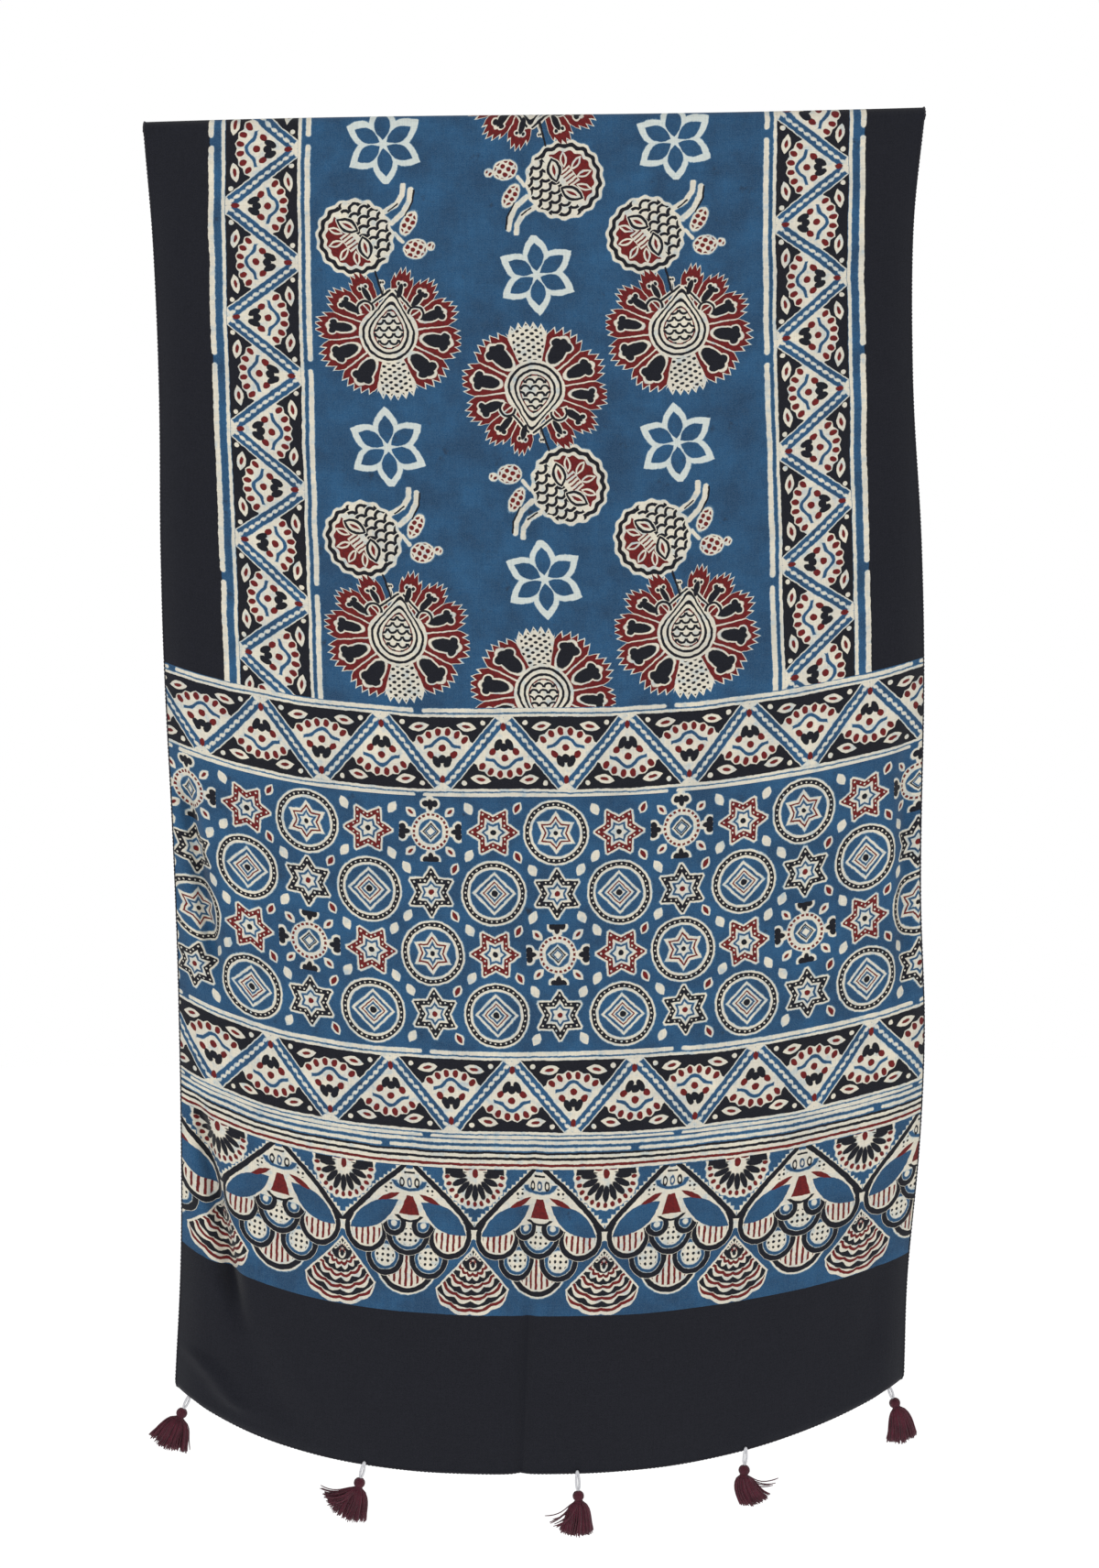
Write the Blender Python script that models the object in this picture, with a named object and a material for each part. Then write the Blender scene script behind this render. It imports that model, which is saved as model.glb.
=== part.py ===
"""A hand-printed stole hung over a hidden rail, with five tassels on its front hem.

Metres, +Z up, the front faces -Y. The origin is the middle of the fold's crest.
"""

import math

import bmesh
import bpy
import numpy as np
from mathutils import Matrix, Vector

# Cloth
thickness = 0.0012
foldRadius = 0.0076  # from the rail's middle to the cloth's middle layer
frontDrop = 0.978
backDrop = 0.900
backInset = 0.004  # how much further in the back drop's sides are
cornerRadius = 0.007
edgeCurl = 0.007  # how far the selvedges turn back
curlStart = 0.92  # share of the half width where that turn begins
curlFade = 0.10  # drop over which the front's curl comes in
backFade = 0.12  # the same for all that shapes the back
backSwingStart = 0.15  # share of the back's set-back curve that lies above the fold
creaseFade = 0.25  # share of a crease's length over which it rises or dies away
columnCount = 36
frontRows = 27
foldRows = 6
backRows = 17
sideCrowding = 0.30  # how much closer the columns are near the selvedges

# How the front hangs at each drop below the fold. left and right are the selvedges, the
# rises say how much higher they are than the middle, belly is how far the middle stands
# forward and setBack how far the selvedges stand behind the rail.
stationColumns = ("drop", "left", "right", "leftRise", "rightRise", "belly", "setBack")
stations = (
    (0.000, -0.280, 0.280, -0.003, 0.003, 0.000, 0.000),
    (0.080, -0.276, 0.273, 0.004, 0.009, 0.003, 0.002),
    (0.200, -0.273, 0.272, 0.015, 0.018, 0.009, 0.004),
    (0.340, -0.274, 0.279, 0.028, 0.029, 0.016, 0.007),
    (0.430, -0.273, 0.281, 0.035, 0.034, 0.020, 0.009),
    (0.600, -0.268, 0.279, 0.039, 0.032, 0.027, 0.012),
    (0.700, -0.267, 0.282, 0.042, 0.031, 0.031, 0.014),
    (0.790, -0.267, 0.278, 0.043, 0.030, 0.033, 0.016),
    (0.880, -0.269, 0.270, 0.044, 0.032, 0.035, 0.018),
    (0.978, -0.275, 0.267, 0.045, 0.047, 0.036, 0.020),
)
leftBowPower = (2.4, 3.4)  # the weft's bow at the fold and at the hem
rightBowPower = (2.0, 2.6)
backSetBack = 0.046  # at the back hem, where the selvedges stand furthest behind the rail

# Pleats and soft ridges of the front. The two ends are places on the front, as distance
# from the middle and drop; depth is positive going back.
creaseColumns = ("name", "topX", "topDrop", "lowX", "lowDrop", "depth", "width")
creases = (
    ("left pleat", -0.264, 0.520, -0.238, 0.650, 0.009, 0.0065),
    ("lower left pleat", -0.258, 0.760, -0.224, 0.905, 0.008, 0.0070),
    ("right roll", 0.270, 0.480, 0.268, 0.680, 0.006, 0.0060),
    ("corner ridge", -0.258, 0.935, -0.222, 0.966, -0.004, 0.0090),
    ("left hollow", -0.090, 0.560, -0.120, 0.950, 0.004, 0.0450),
    ("right hollow", 0.120, 0.500, 0.150, 0.950, 0.003, 0.0400),
)

# Tassels
strandRadius = 0.0005
loopHalfWidth = 0.0011
loopSteps = 5  # points round each end of a loop, less one
gap = 0.0003
tasselSides = 12
tasselDepth = 0.62  # front-to-back size as a share of the width
headHeight = 0.0078
tasselColumns = ("across", "loopLength", "loopLean", "skirtLean", "length", "tipHalfWidth")
tassels = (
    (-0.985, 0.0100, -25.0, -25.0, 0.0320, 0.0165),
    (-0.484, 0.0095, -14.0, -18.0, 0.0325, 0.0150),
    (0.104, 0.0120, 2.0, -3.0, 0.0330, 0.0122),
    (0.569, 0.0105, -4.0, 16.0, 0.0300, 0.0118),
    (0.985, 0.0085, 20.0, 12.0, 0.0335, 0.0122),
)
# Rings of a tassel: share of the way down the head, then of the skirt, with half widths.
headRings = ((0.00, 0.0009), (0.18, 0.0029), (0.50, 0.0039), (0.82, 0.0032), (1.00, 0.0026))
skirtRings = ((0.10, 0.34), (0.28, 0.56), (0.55, 0.78), (0.80, 0.92), (1.00, 1.00))


def clearScene():
    for item in list(bpy.data.objects):
        bpy.data.objects.remove(item)


def makeMaterial(name, colour, roughness):
    material = bpy.data.materials.new(name)
    material.use_nodes = True
    shader = material.node_tree.nodes["Principled BSDF"]
    shader.inputs["Base Color"].default_value = (*colour, 1.0)
    shader.inputs["Roughness"].default_value = roughness
    shader.inputs["Metallic"].default_value = 0.0
    return material


def station(drop):
    """The hang at this drop, from a smooth curve through the stations' rows."""
    rows = np.array(stations)
    drops = rows[:, 0]
    slopes = np.gradient(rows, drops, axis=0)
    low = int(np.clip(np.searchsorted(drops, drop) - 1, 0, len(drops) - 2))
    span = drops[low + 1] - drops[low]
    share = (drop - drops[low]) / span
    start = (1 + 2 * share) * (1 - share) ** 2
    values = start * rows[low] + (1 - start) * rows[low + 1]
    values += span * share * (1 - share) * ((1 - share) * slopes[low] - share * slopes[low + 1])
    return dict(zip(stationColumns, values))


def smoothStep(value):
    value = min(max(value, 0.0), 1.0)
    return value * value * (3 - 2 * value)


def creaseDepth(x, drop):
    """How far back the creases push the front at this place."""
    depth = 0.0
    for row in creases:
        crease = dict(zip(creaseColumns, row))
        length = crease["lowDrop"] - crease["topDrop"]
        share = (drop - crease["topDrop"]) / length
        fade = smoothStep(share / creaseFade) * smoothStep((1 - share) / creaseFade)
        middle = crease["topX"] + (crease["lowX"] - crease["topX"]) * share
        depth += crease["depth"] * fade * math.exp(-(((x - middle) / crease["width"]) ** 2) / 2)
    return depth


def curl(across):
    return edgeCurl * max(0.0, (abs(across) - curlStart) / (1 - curlStart)) ** 2


def sideInset(drop, hemDrop):
    """How far the rounded corner draws the selvedge in."""
    past = max(0.0, drop - (hemDrop - cornerRadius))
    return cornerRadius - math.sqrt(max(0.0, cornerRadius**2 - past**2))


def hang(across, drop, inset):
    """Place of the cloth's middle layer in x and z, and its station."""
    row = station(drop)
    left = row["left"] + inset
    right = row["right"] - inset
    x = (left + right) / 2 + across * (right - left) / 2
    rise = row["rightRise"] if across > 0 else row["leftRise"]
    low, high = rightBowPower if across > 0 else leftBowPower
    power = low + (high - low) * drop / frontDrop
    return x, -drop + rise * abs(across) ** power, row


def frontPlace(across, drop):
    x, z, row = hang(across, drop, sideInset(drop, frontDrop))
    y = -row["belly"] * (1 - across**2) + row["setBack"] * across**2
    y += creaseDepth(x, drop) + curl(across) * smoothStep(drop / curlFade)
    return Vector((x, y - foldRadius, z))


def backPlace(across, drop):
    near = smoothStep(drop / backFade)
    x, z, _ = hang(across, drop, backInset * near + sideInset(drop, backDrop))
    swing = smoothStep(backSwingStart + (1 - backSwingStart) * drop / backDrop)
    y = backSetBack * swing * across**2 * near
    return Vector((x, y + curl(across) * near + foldRadius, z))


def foldPlace(across, angle):
    """Place on the half turn over the rail, 0 at the front and pi at the back."""
    x, z, _ = hang(across, 0.0, 0.0)
    crest = foldRadius - foldRadius * math.sin(angle)
    return Vector((x, -foldRadius * math.cos(angle), z - crest))


def buildCloth(material):
    """One sheet: up the front from the hem, over the rail and down the back."""
    even = np.linspace(-1, 1, columnCount + 1)
    acrosses = even * (1 + sideCrowding * (1 - even**2))
    mesh = bmesh.new()
    rows = []
    for drop in np.linspace(frontDrop, foldRadius, frontRows + 1):
        rows.append([frontPlace(across, drop) for across in acrosses])
    for angle in np.linspace(0, math.pi, foldRows + 1)[1:-1]:
        rows.append([foldPlace(across, angle) for across in acrosses])
    for drop in np.linspace(foldRadius, backDrop, backRows + 1):
        rows.append([backPlace(across, drop) for across in acrosses])
    grid = [[mesh.verts.new(place) for place in row] for row in rows]
    for low, high in zip(grid, grid[1:]):
        for column in range(columnCount):
            mesh.faces.new((low[column], low[column + 1], high[column + 1], high[column]))
    data = bpy.data.meshes.new("cloth")
    mesh.to_mesh(data)
    mesh.free()
    data.materials.append(material)
    data.shade_smooth()
    cloth = bpy.data.objects.new("cloth", data)
    bpy.context.collection.objects.link(cloth)
    solidify = cloth.modifiers.new("thickness", "SOLIDIFY")
    solidify.thickness = thickness
    solidify.offset = 0.0
    solidify.use_even_offset = True
    return cloth


def buildLoop(name, top, length, lean, material):
    """A closed strand, as two parallel runs with round ends, turned about its top."""
    straight = length - 2 * loopHalfWidth - 2 * strandRadius
    turn = Matrix.Rotation(-math.radians(lean), 3, "Y")
    places = []
    for start, drop in ((0.0, loopHalfWidth), (math.pi, loopHalfWidth + straight)):
        for step in range(loopSteps + 1):
            angle = start + math.pi * step / loopSteps
            x = loopHalfWidth * math.cos(angle)
            z = loopHalfWidth * math.sin(angle) - drop - strandRadius
            places.append(top + turn @ Vector((x, 0.0, z)))
    curve = bpy.data.curves.new(name, "CURVE")
    curve.dimensions = "3D"
    curve.bevel_depth = strandRadius
    curve.bevel_resolution = 1
    spline = curve.splines.new("POLY")
    spline.points.add(len(places) - 1)
    for point, place in zip(spline.points, places):
        point.co = (*place, 1.0)
    spline.use_cyclic_u = True
    curve.materials.append(material)
    loop = bpy.data.objects.new(name, curve)
    bpy.context.collection.objects.link(loop)
    return top + turn @ Vector((0.0, 0.0, -length))


def tasselRings(tassel):
    """Distance down, half width and lean share of each ring, from the head to the tips."""
    rings = [(headHeight * share, halfWidth, 0.0) for share, halfWidth in headRings]
    skirt = tassel["length"] - headHeight
    for share, spread in skirtRings:
        rings.append((headHeight + skirt * share, tassel["tipHalfWidth"] * spread, share))
    return rings


def buildTassel(name, top, tassel, material):
    """A wound head over a flattened skirt that swings to one side."""
    mesh = bmesh.new()
    grid = []
    for down, halfWidth, share in tasselRings(tassel):
        lean = math.radians(tassel["loopLean"] + (tassel["skirtLean"] - tassel["loopLean"]) * share)
        middle = top + Vector((math.sin(lean) * down, 0.0, -math.cos(lean) * down))
        ring = []
        for side in range(tasselSides):
            angle = math.tau * side / tasselSides
            offset = halfWidth * math.cos(angle)
            y = halfWidth * tasselDepth * math.sin(angle) if share else halfWidth * math.sin(angle)
            place = middle + Vector((math.cos(lean) * offset, y, math.sin(lean) * offset))
            ring.append(mesh.verts.new(place))
        grid.append(ring)
    for high, low in zip(grid, grid[1:]):
        for side in range(tasselSides):
            after = (side + 1) % tasselSides
            mesh.faces.new((high[side], high[after], low[after], low[side]))
    mesh.faces.new(grid[0][::-1])
    mesh.faces.new(grid[-1])
    bmesh.ops.recalc_face_normals(mesh, faces=mesh.faces)
    data = bpy.data.meshes.new(name)
    mesh.to_mesh(data)
    mesh.free()
    data.materials.append(material)
    data.shade_smooth()
    bpy.context.collection.objects.link(bpy.data.objects.new(name, data))


def buildTassels(loopMaterial, tasselMaterial):
    for number, row in enumerate(tassels, start=1):
        tassel = dict(zip(tasselColumns, row))
        hem = frontPlace(tassel["across"], frontDrop)
        top = hem + Vector((0.0, 0.0, -thickness / 2 - gap))
        length, lean = tassel["loopLength"], tassel["loopLean"]
        foot = buildLoop(f"tassel_loop_{number}", top, length, lean, loopMaterial)
        lean = math.radians(lean)
        head = foot + gap * Vector((math.sin(lean), 0.0, -math.cos(lean)))
        buildTassel(f"tassel_{number}", head, tassel, tasselMaterial)


def main():
    clearScene()
    clothMaterial = makeMaterial("cloth", (0.060, 0.110, 0.190), 0.75)
    loopMaterial = makeMaterial("loop_thread", (0.780, 0.790, 0.800), 0.70)
    tasselMaterial = makeMaterial("tassel_yarn", (0.075, 0.010, 0.024), 0.80)
    buildCloth(clothMaterial)
    buildTassels(loopMaterial, tasselMaterial)


main()
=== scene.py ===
import math
import random

import bpy
import numpy as np
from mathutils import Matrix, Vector


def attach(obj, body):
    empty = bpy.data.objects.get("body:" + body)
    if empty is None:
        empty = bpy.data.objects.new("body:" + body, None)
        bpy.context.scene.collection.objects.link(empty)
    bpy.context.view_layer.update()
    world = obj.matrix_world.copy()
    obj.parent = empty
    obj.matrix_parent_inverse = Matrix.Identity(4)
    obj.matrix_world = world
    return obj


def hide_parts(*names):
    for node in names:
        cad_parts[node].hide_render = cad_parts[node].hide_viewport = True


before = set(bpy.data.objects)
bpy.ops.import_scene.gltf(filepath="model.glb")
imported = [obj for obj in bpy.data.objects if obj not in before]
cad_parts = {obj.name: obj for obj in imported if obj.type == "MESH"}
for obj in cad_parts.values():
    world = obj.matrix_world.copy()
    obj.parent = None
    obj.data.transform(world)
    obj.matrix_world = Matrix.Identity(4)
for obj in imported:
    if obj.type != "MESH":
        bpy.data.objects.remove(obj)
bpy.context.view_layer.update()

hanging = {
    "thickness": 0.0012,
    "foldRadius": 0.0076,
    "frontDrop": 0.978,
    "backDrop": 0.900,
    "backInset": 0.004,
    "cornerRadius": 0.007,
    "edgeCurl": 0.007,
    "curlStart": 0.92,
    "leftBow": (2.4, 3.4),
    "rightBow": (2.0, 2.6),
    "backSetBack": 0.046,
    # drop, left and right edge, how much higher they hang, belly forward, edges set back
    "stations": (
        (0.000, -0.280, 0.280, -0.003, 0.003, 0.000, 0.000),
        (0.080, -0.276, 0.273, 0.004, 0.009, 0.003, 0.002),
        (0.200, -0.273, 0.272, 0.015, 0.018, 0.009, 0.004),
        (0.340, -0.274, 0.279, 0.028, 0.029, 0.016, 0.007),
        (0.430, -0.273, 0.281, 0.035, 0.034, 0.020, 0.009),
        (0.600, -0.268, 0.279, 0.039, 0.032, 0.027, 0.012),
        (0.700, -0.267, 0.282, 0.042, 0.031, 0.031, 0.014),
        (0.790, -0.267, 0.278, 0.043, 0.030, 0.033, 0.016),
        (0.880, -0.269, 0.270, 0.044, 0.032, 0.035, 0.018),
        (0.978, -0.275, 0.267, 0.045, 0.047, 0.036, 0.020),
    ),
}

# pleats and ridges: top x and drop, low x and drop, depth going back, width, sharpness
folds = (
    (-0.263, 0.490, -0.236, 0.660, 0.0150, 0.0046, 2.0),
    (-0.258, 0.730, -0.222, 0.910, 0.0145, 0.0050, 2.0),
    (0.268, 0.460, 0.266, 0.690, 0.0095, 0.0050, 2.0),
    (-0.258, 0.935, -0.222, 0.966, -0.004, 0.0090, 2.0),
    (-0.090, 0.560, -0.120, 0.950, 0.004, 0.0450, 2.0),
    (0.120, 0.500, 0.150, 0.950, 0.003, 0.0400, 2.0),
    (-0.003, 0.690, -0.022, 1.060, 0.0052, 0.0026, 1.0),
    (-0.245, 0.640, -0.200, 0.760, -0.0022, 0.0120, 2.0),
    (-0.234, 0.880, -0.186, 0.965, 0.0018, 0.0110, 2.0),
    (0.256, 0.300, 0.250, 0.620, -0.0018, 0.0130, 2.0),
    (0.262, 0.760, 0.236, 0.960, 0.0025, 0.0110, 2.0),
    (0.060, 0.800, 0.078, 0.990, -0.0016, 0.0200, 2.0),
    (-0.150, 0.030, -0.110, 0.420, 0.0016, 0.0300, 2.0),
    (0.100, 0.080, 0.060, 0.450, -0.0016, 0.0300, 2.0),
)

sheetGrid = {
    # start and end across the cloth, spacing of the columns
    "bands": (
        (-0.2800, -0.2000, 0.0022),
        (-0.2000, -0.1575, 0.0040),
        (-0.1575, -0.0360, 0.0044),
        (-0.0360, 0.0120, 0.0022),
        (0.0120, 0.1605, 0.0044),
        (0.1605, 0.2200, 0.0040),
        (0.2200, 0.2800, 0.0022),
    ),
    "trueTo": 0.250,  # the outer strips take up what the bow leaves over
    # lines down the cloth where the print changes
    "lines": (0.4255, 0.4895, 0.6720, 0.7355, 0.7575, 0.8635),
    "field": (-0.1575, 0.1605),  # between the side borders
    "frontSpacing": 0.0038,
    "foldSteps": 14,
    "backSpacing": 0.0090,
    "flat": (0.56, 1.90),
}


def smoothStep(value):
    value = np.clip(value, 0.0, 1.0)
    return value * value * (3 - 2 * value)


def stationAt(drop):
    rows = np.array(hanging["stations"])
    drops = rows[:, 0]
    slopes = np.gradient(rows, drops, axis=0)
    low = int(np.clip(np.searchsorted(drops, drop) - 1, 0, len(drops) - 2))
    span = drops[low + 1] - drops[low]
    share = (drop - drops[low]) / span
    start = (1 + 2 * share) * (1 - share) ** 2
    values = start * rows[low] + (1 - start) * rows[low + 1]
    return values + span * share * (1 - share) * ((1 - share) * slopes[low] - share * slopes[low + 1])


def hangAt(across, drop, inset):
    _, left, right, leftRise, rightRise, belly, setBack = stationAt(drop)
    left, right = left + inset, right - inset
    x = (left + right) / 2 + across * (right - left) / 2
    share = drop / hanging["frontDrop"]
    bows = [low + (high - low) * share for low, high in (hanging["leftBow"], hanging["rightBow"])]
    power = np.where(across > 0, bows[1], bows[0])
    z = -drop + np.where(across > 0, rightRise, leftRise) * np.abs(across) ** power
    return x, z, belly, setBack


def edgeCurl(across):
    start = hanging["curlStart"]
    return hanging["edgeCurl"] * np.maximum(0.0, (np.abs(across) - start) / (1 - start)) ** 2


def cornerInset(drop, hemDrop):
    radius = hanging["cornerRadius"]
    past = max(0.0, drop - (hemDrop - radius))
    return radius - math.sqrt(max(0.0, radius**2 - past**2))


def foldDepth(x, drop):
    depth = np.zeros_like(x)
    for topX, topDrop, lowX, lowDrop, deep, width, sharp in folds:
        share = (drop - topDrop) / (lowDrop - topDrop)
        fade = float(smoothStep(share / 0.25) * smoothStep((1 - share) / 0.25))
        middle = topX + (lowX - topX) * share
        depth += deep * fade * np.exp(-(np.abs((x - middle) / width) ** sharp) / 2)
    return depth


def ripple(x, drop):
    slow = np.sin(x * 31 + drop * 9 + 0.6) * np.sin(drop * 23 - x * 7)
    quick = np.sin(x * 74 - drop * 17) * np.sin(drop * 51 + x * 29 + 1.1)
    return (0.0009 * slow + 0.00035 * quick) * float(smoothStep(drop / 0.15))


def frontRow(across, drop):
    x, z, belly, setBack = hangAt(across, drop, cornerInset(drop, hanging["frontDrop"]))
    y = -belly * (1 - across**2) + setBack * across**2
    y += foldDepth(x, drop) + ripple(x, drop) + edgeCurl(across) * float(smoothStep(drop / 0.10))
    return np.stack([x, y - hanging["foldRadius"], z], axis=1)


def backRow(across, drop):
    near = float(smoothStep(drop / 0.12))
    inset = hanging["backInset"] * near + cornerInset(drop, hanging["backDrop"])
    x, z, _, _ = hangAt(across, drop, inset)
    swing = float(smoothStep(0.15 + 0.85 * drop / hanging["backDrop"]))
    y = hanging["backSetBack"] * swing * across**2 * near
    y += ripple(x, drop + 0.37) * 0.6
    return np.stack([x, y + edgeCurl(across) * near + hanging["foldRadius"], z], axis=1)


def foldRow(across, angle):
    radius = hanging["foldRadius"]
    x, z, _, _ = hangAt(across, 0.0, 0.0)
    y = np.full_like(x, -radius * math.cos(angle))
    return np.stack([x, y, z - (radius - radius * math.sin(angle))], axis=1)


def spread(makeRow, drop, columns):
    # places the columns by their distance along the row from the cloth's middle line
    across = np.linspace(-1, 1, 801)
    places = makeRow(across, drop)
    steps = np.hypot(np.diff(places[:, 0]), np.diff(places[:, 1]))
    along = np.concatenate([[0.0], np.cumsum(steps)])
    along -= along[400]
    half = sheetGrid["flat"][0] / 2
    true = sheetGrid["trueTo"]
    knots = [-half, -true, true, half]
    target = np.interp(columns, knots, [along[0], -true, true, along[-1]])
    return makeRow(np.interp(target, along, across), drop)


def evenly(start, end, spacing):
    return np.linspace(start, end, max(1, round(abs(end - start) / spacing)) + 1)[:-1]


def buildSheet():
    columns = [evenly(*band) for band in sheetGrid["bands"]] + [[sheetGrid["bands"][-1][1]]]
    columns = np.concatenate(columns)
    radius = hanging["foldRadius"]
    rows, downs = [], []
    lines = [hanging["frontDrop"], *sorted(sheetGrid["lines"], reverse=True), radius]
    for start, end in zip(lines, lines[1:]):
        for drop in evenly(start, end, sheetGrid["frontSpacing"]):
            rows.append(spread(frontRow, drop, columns))
            downs.append(drop)
    for angle in np.linspace(0, math.pi, sheetGrid["foldSteps"] + 1)[:-1]:
        rows.append(spread(foldRow, angle, columns))
        downs.append(radius * (1 - 2 * angle / math.pi))
    lines = [radius, *sheetGrid["lines"], hanging["backDrop"]]
    for start, end in zip(lines, lines[1:]):
        for drop in evenly(start, end, sheetGrid["backSpacing"]):
            rows.append(spread(backRow, drop, columns))
            downs.append(-drop)
    rows.append(spread(backRow, hanging["backDrop"], columns))
    downs.append(-hanging["backDrop"])
    count = len(columns)
    places = np.concatenate(rows)
    faces = []
    for row in range(len(rows) - 1):
        start = row * count
        for column in range(count - 1):
            first = start + column
            faces.append((first, first + 1, first + count + 1, first + count))
    mesh = bpy.data.meshes.new("stole_cloth")
    mesh.from_pydata(places.tolist(), [], faces)
    layer = mesh.uv_layers.new(name="flatCloth")
    flat = np.stack([np.tile(columns, len(rows)), np.repeat(downs, count)], axis=1)
    corners = np.array([corner for face in faces for corner in face])
    layer.data.foreach_set("uv", flat[corners].astype(np.float32).ravel())
    mesh.shade_smooth()
    cloth = bpy.data.objects.new("stole_cloth", mesh)
    bpy.context.collection.objects.link(cloth)
    middle = flat[corners].reshape(-1, 4, 2).mean(axis=1)
    return cloth, middle, np.array(rows)


clear = 60.0  # far enough outside a shape to leave no mark


class Drawing:
    # shapes are signed distances in millimetres, below zero inside
    def __init__(self, tree):
        self.tree = tree
        self.inks = {}
        self.motif = {}
        self.column = 0

    def node(self, kind, values, output=0, **settings):
        made = self.tree.nodes.new(kind)
        self.column += 1
        made.location = (170 * (self.column // 12), -150 * (self.column % 12))
        made.hide = True
        for name, value in settings.items():
            setattr(made, name, value)
        self.feed(made.inputs, values)
        return made.outputs[output]

    def feed(self, sockets, values):
        for socket, value in zip(sockets, values):
            if isinstance(value, bpy.types.NodeSocket):
                self.tree.links.new(value, socket)
            elif value is not None:
                socket.default_value = value

    def calc(self, operation, *values, clamp=False):
        return self.node("ShaderNodeMath", values, operation=operation, use_clamp=clamp)

    def vector(self, operation, *values):
        number = operation in ("LENGTH", "DOT_PRODUCT", "DISTANCE")
        return self.node("ShaderNodeVectorMath", values, int(number), operation=operation)

    def plus(self, a, b):
        return self.calc("ADD", a, b)

    def minus(self, a, b):
        return self.calc("SUBTRACT", a, b)

    def times(self, a, b):
        return self.calc("MULTIPLY", a, b)

    def scaled(self, value, by, more, clamp=False):
        return self.calc("MULTIPLY_ADD", value, by, more, clamp=clamp)

    def fold(self, value, half):
        return self.calc("PINGPONG", value, half)

    def away(self, value):
        return self.calc("ABSOLUTE", value)

    def least(self, a, b):
        return self.calc("MINIMUM", a, b)

    def most(self, a, b):
        return self.calc("MAXIMUM", a, b)

    def angle(self, y, x):
        return self.calc("ARCTAN2", y, x)

    def nearest(self, value, pitch):
        return self.calc("ROUND", self.calc("DIVIDE", value, pitch))

    def point(self, x, y):
        return self.node("ShaderNodeCombineXYZ", (x, y, 1.0))

    def split(self, place):
        parts = self.node("ShaderNodeSeparateXYZ", (place,)).node
        return parts.outputs[0], parts.outputs[1]

    def dot(self, place, x, y, more=0.0):
        return self.vector("DOT_PRODUCT", place, (x, y, more))

    def distance(self, place, x, y):
        return self.vector("DISTANCE", place, (x, y, 1.0))

    def length(self, x, y):
        return self.vector("LENGTH", self.node("ShaderNodeCombineXYZ", (x, y, 0.0)))

    def pick(self, chosen, off, on):
        made = self.node("ShaderNodeMix", (chosen,), 0, data_type="FLOAT")
        self.feed(made.node.inputs[2:4], (off, on))
        return made

    def along(self, place, x, y, turn, scale=1.0):
        c, s = math.cos(turn) / scale, math.sin(turn) / scale
        return self.dot(place, c, s, -(c * x + s * y))

    def local(self, place, x, y, turn=0.0):
        a = self.along(place, x, y, turn)
        return self.point(a, self.along(place, x, y, turn + math.pi / 2))

    def spot(self, place, x, y, radius):
        return self.minus(self.distance(place, x, y), radius)

    def oval(self, place, x, y, long, wide, turn=0.0):
        a = self.along(place, x, y, turn, long)
        b = self.along(place, x, y, turn + math.pi / 2, wide)
        size = self.length(a, b)
        small = min(long, wide)
        return self.scaled(size, small, -small)

    def leaf(self, place, x, y, long, wide, turn=0.0):
        a = self.along(place, x, y, turn, long)
        b = self.away(self.along(place, x, y, turn + math.pi / 2))
        return self.plus(b, self.scaled(self.times(a, a), wide, -wide))

    def lozenge(self, place, x, y, wide, high):
        a = self.away(self.along(place, x, y, 0.0, wide))
        b = self.away(self.along(place, x, y, math.pi / 2, high))
        return self.scaled(self.plus(a, b), wide * 0.7, -wide * 0.7)

    def stroke(self, place, x, y, endX, endY, half):
        turn = math.atan2(endY - y, endX - x)
        reach = math.hypot(endX - x, endY - y) / 2
        midX, midY = (x + endX) / 2, (y + endY) / 2
        a = self.away(self.along(place, midX, midY, turn))
        a = self.most(self.minus(a, reach), 0.0)
        b = self.along(place, midX, midY, turn + math.pi / 2)
        return self.minus(self.length(a, b), half)

    def line(self, distance, at, half):
        away = self.away(self.minus(distance, at))
        return self.minus(away, half)

    def meet(self, *shapes):
        result = shapes[0]
        for shape in shapes[1:]:
            result = self.most(result, shape)
        return result

    def less(self, shape, *cuts):
        for cut in cuts:
            shape = self.most(shape, self.times(cut, -1.0))
        return shape

    def around(self, place, x, y, count, phase=0.0):
        # folds the turn about a middle into one half wedge; gives the place and the radius
        a = self.along(place, x, y, phase)
        b = self.along(place, x, y, phase + math.pi / 2)
        angle = self.fold(self.angle(b, a), math.pi / count)
        return self.swung(self.distance(place, x, y), angle)

    def swung(self, radius, angle):
        a = self.times(radius, self.calc("COSINE", angle))
        b = self.times(radius, self.calc("SINE", angle))
        return self.point(a, b), radius, angle

    def starEdge(self, place, tip, valley, count=6):
        half = math.pi / count
        x, y = valley * math.cos(half), valley * math.sin(half)
        size = math.hypot(tip - x, y)
        nx, ny = y / size, (tip - x) / size
        return self.dot(place, nx, ny, -nx * tip)

    def ink(self, name, *shapes):
        for shape in shapes:
            held = self.motif.get(name)
            self.motif[name] = shape if held is None else self.least(held, shape)

    def keepIn(self, band):
        # holds the motif back wherever band is above zero
        outside = self.scaled(band, 3.0, 0.0, clamp=True)
        self.motif = {name: self.scaled(outside, 30.0, shape) for name, shape in self.motif.items()}

    def place(self, outside=None):
        # puts the finished motif down; outside is 1 where this motif isn't printed
        for name, shape in self.motif.items():
            if outside is not None:
                shape = self.scaled(outside, clear, shape)
            held = self.inks.get(name)
            self.inks[name] = shape if held is None else self.least(held, shape)
        self.motif = {}


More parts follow.
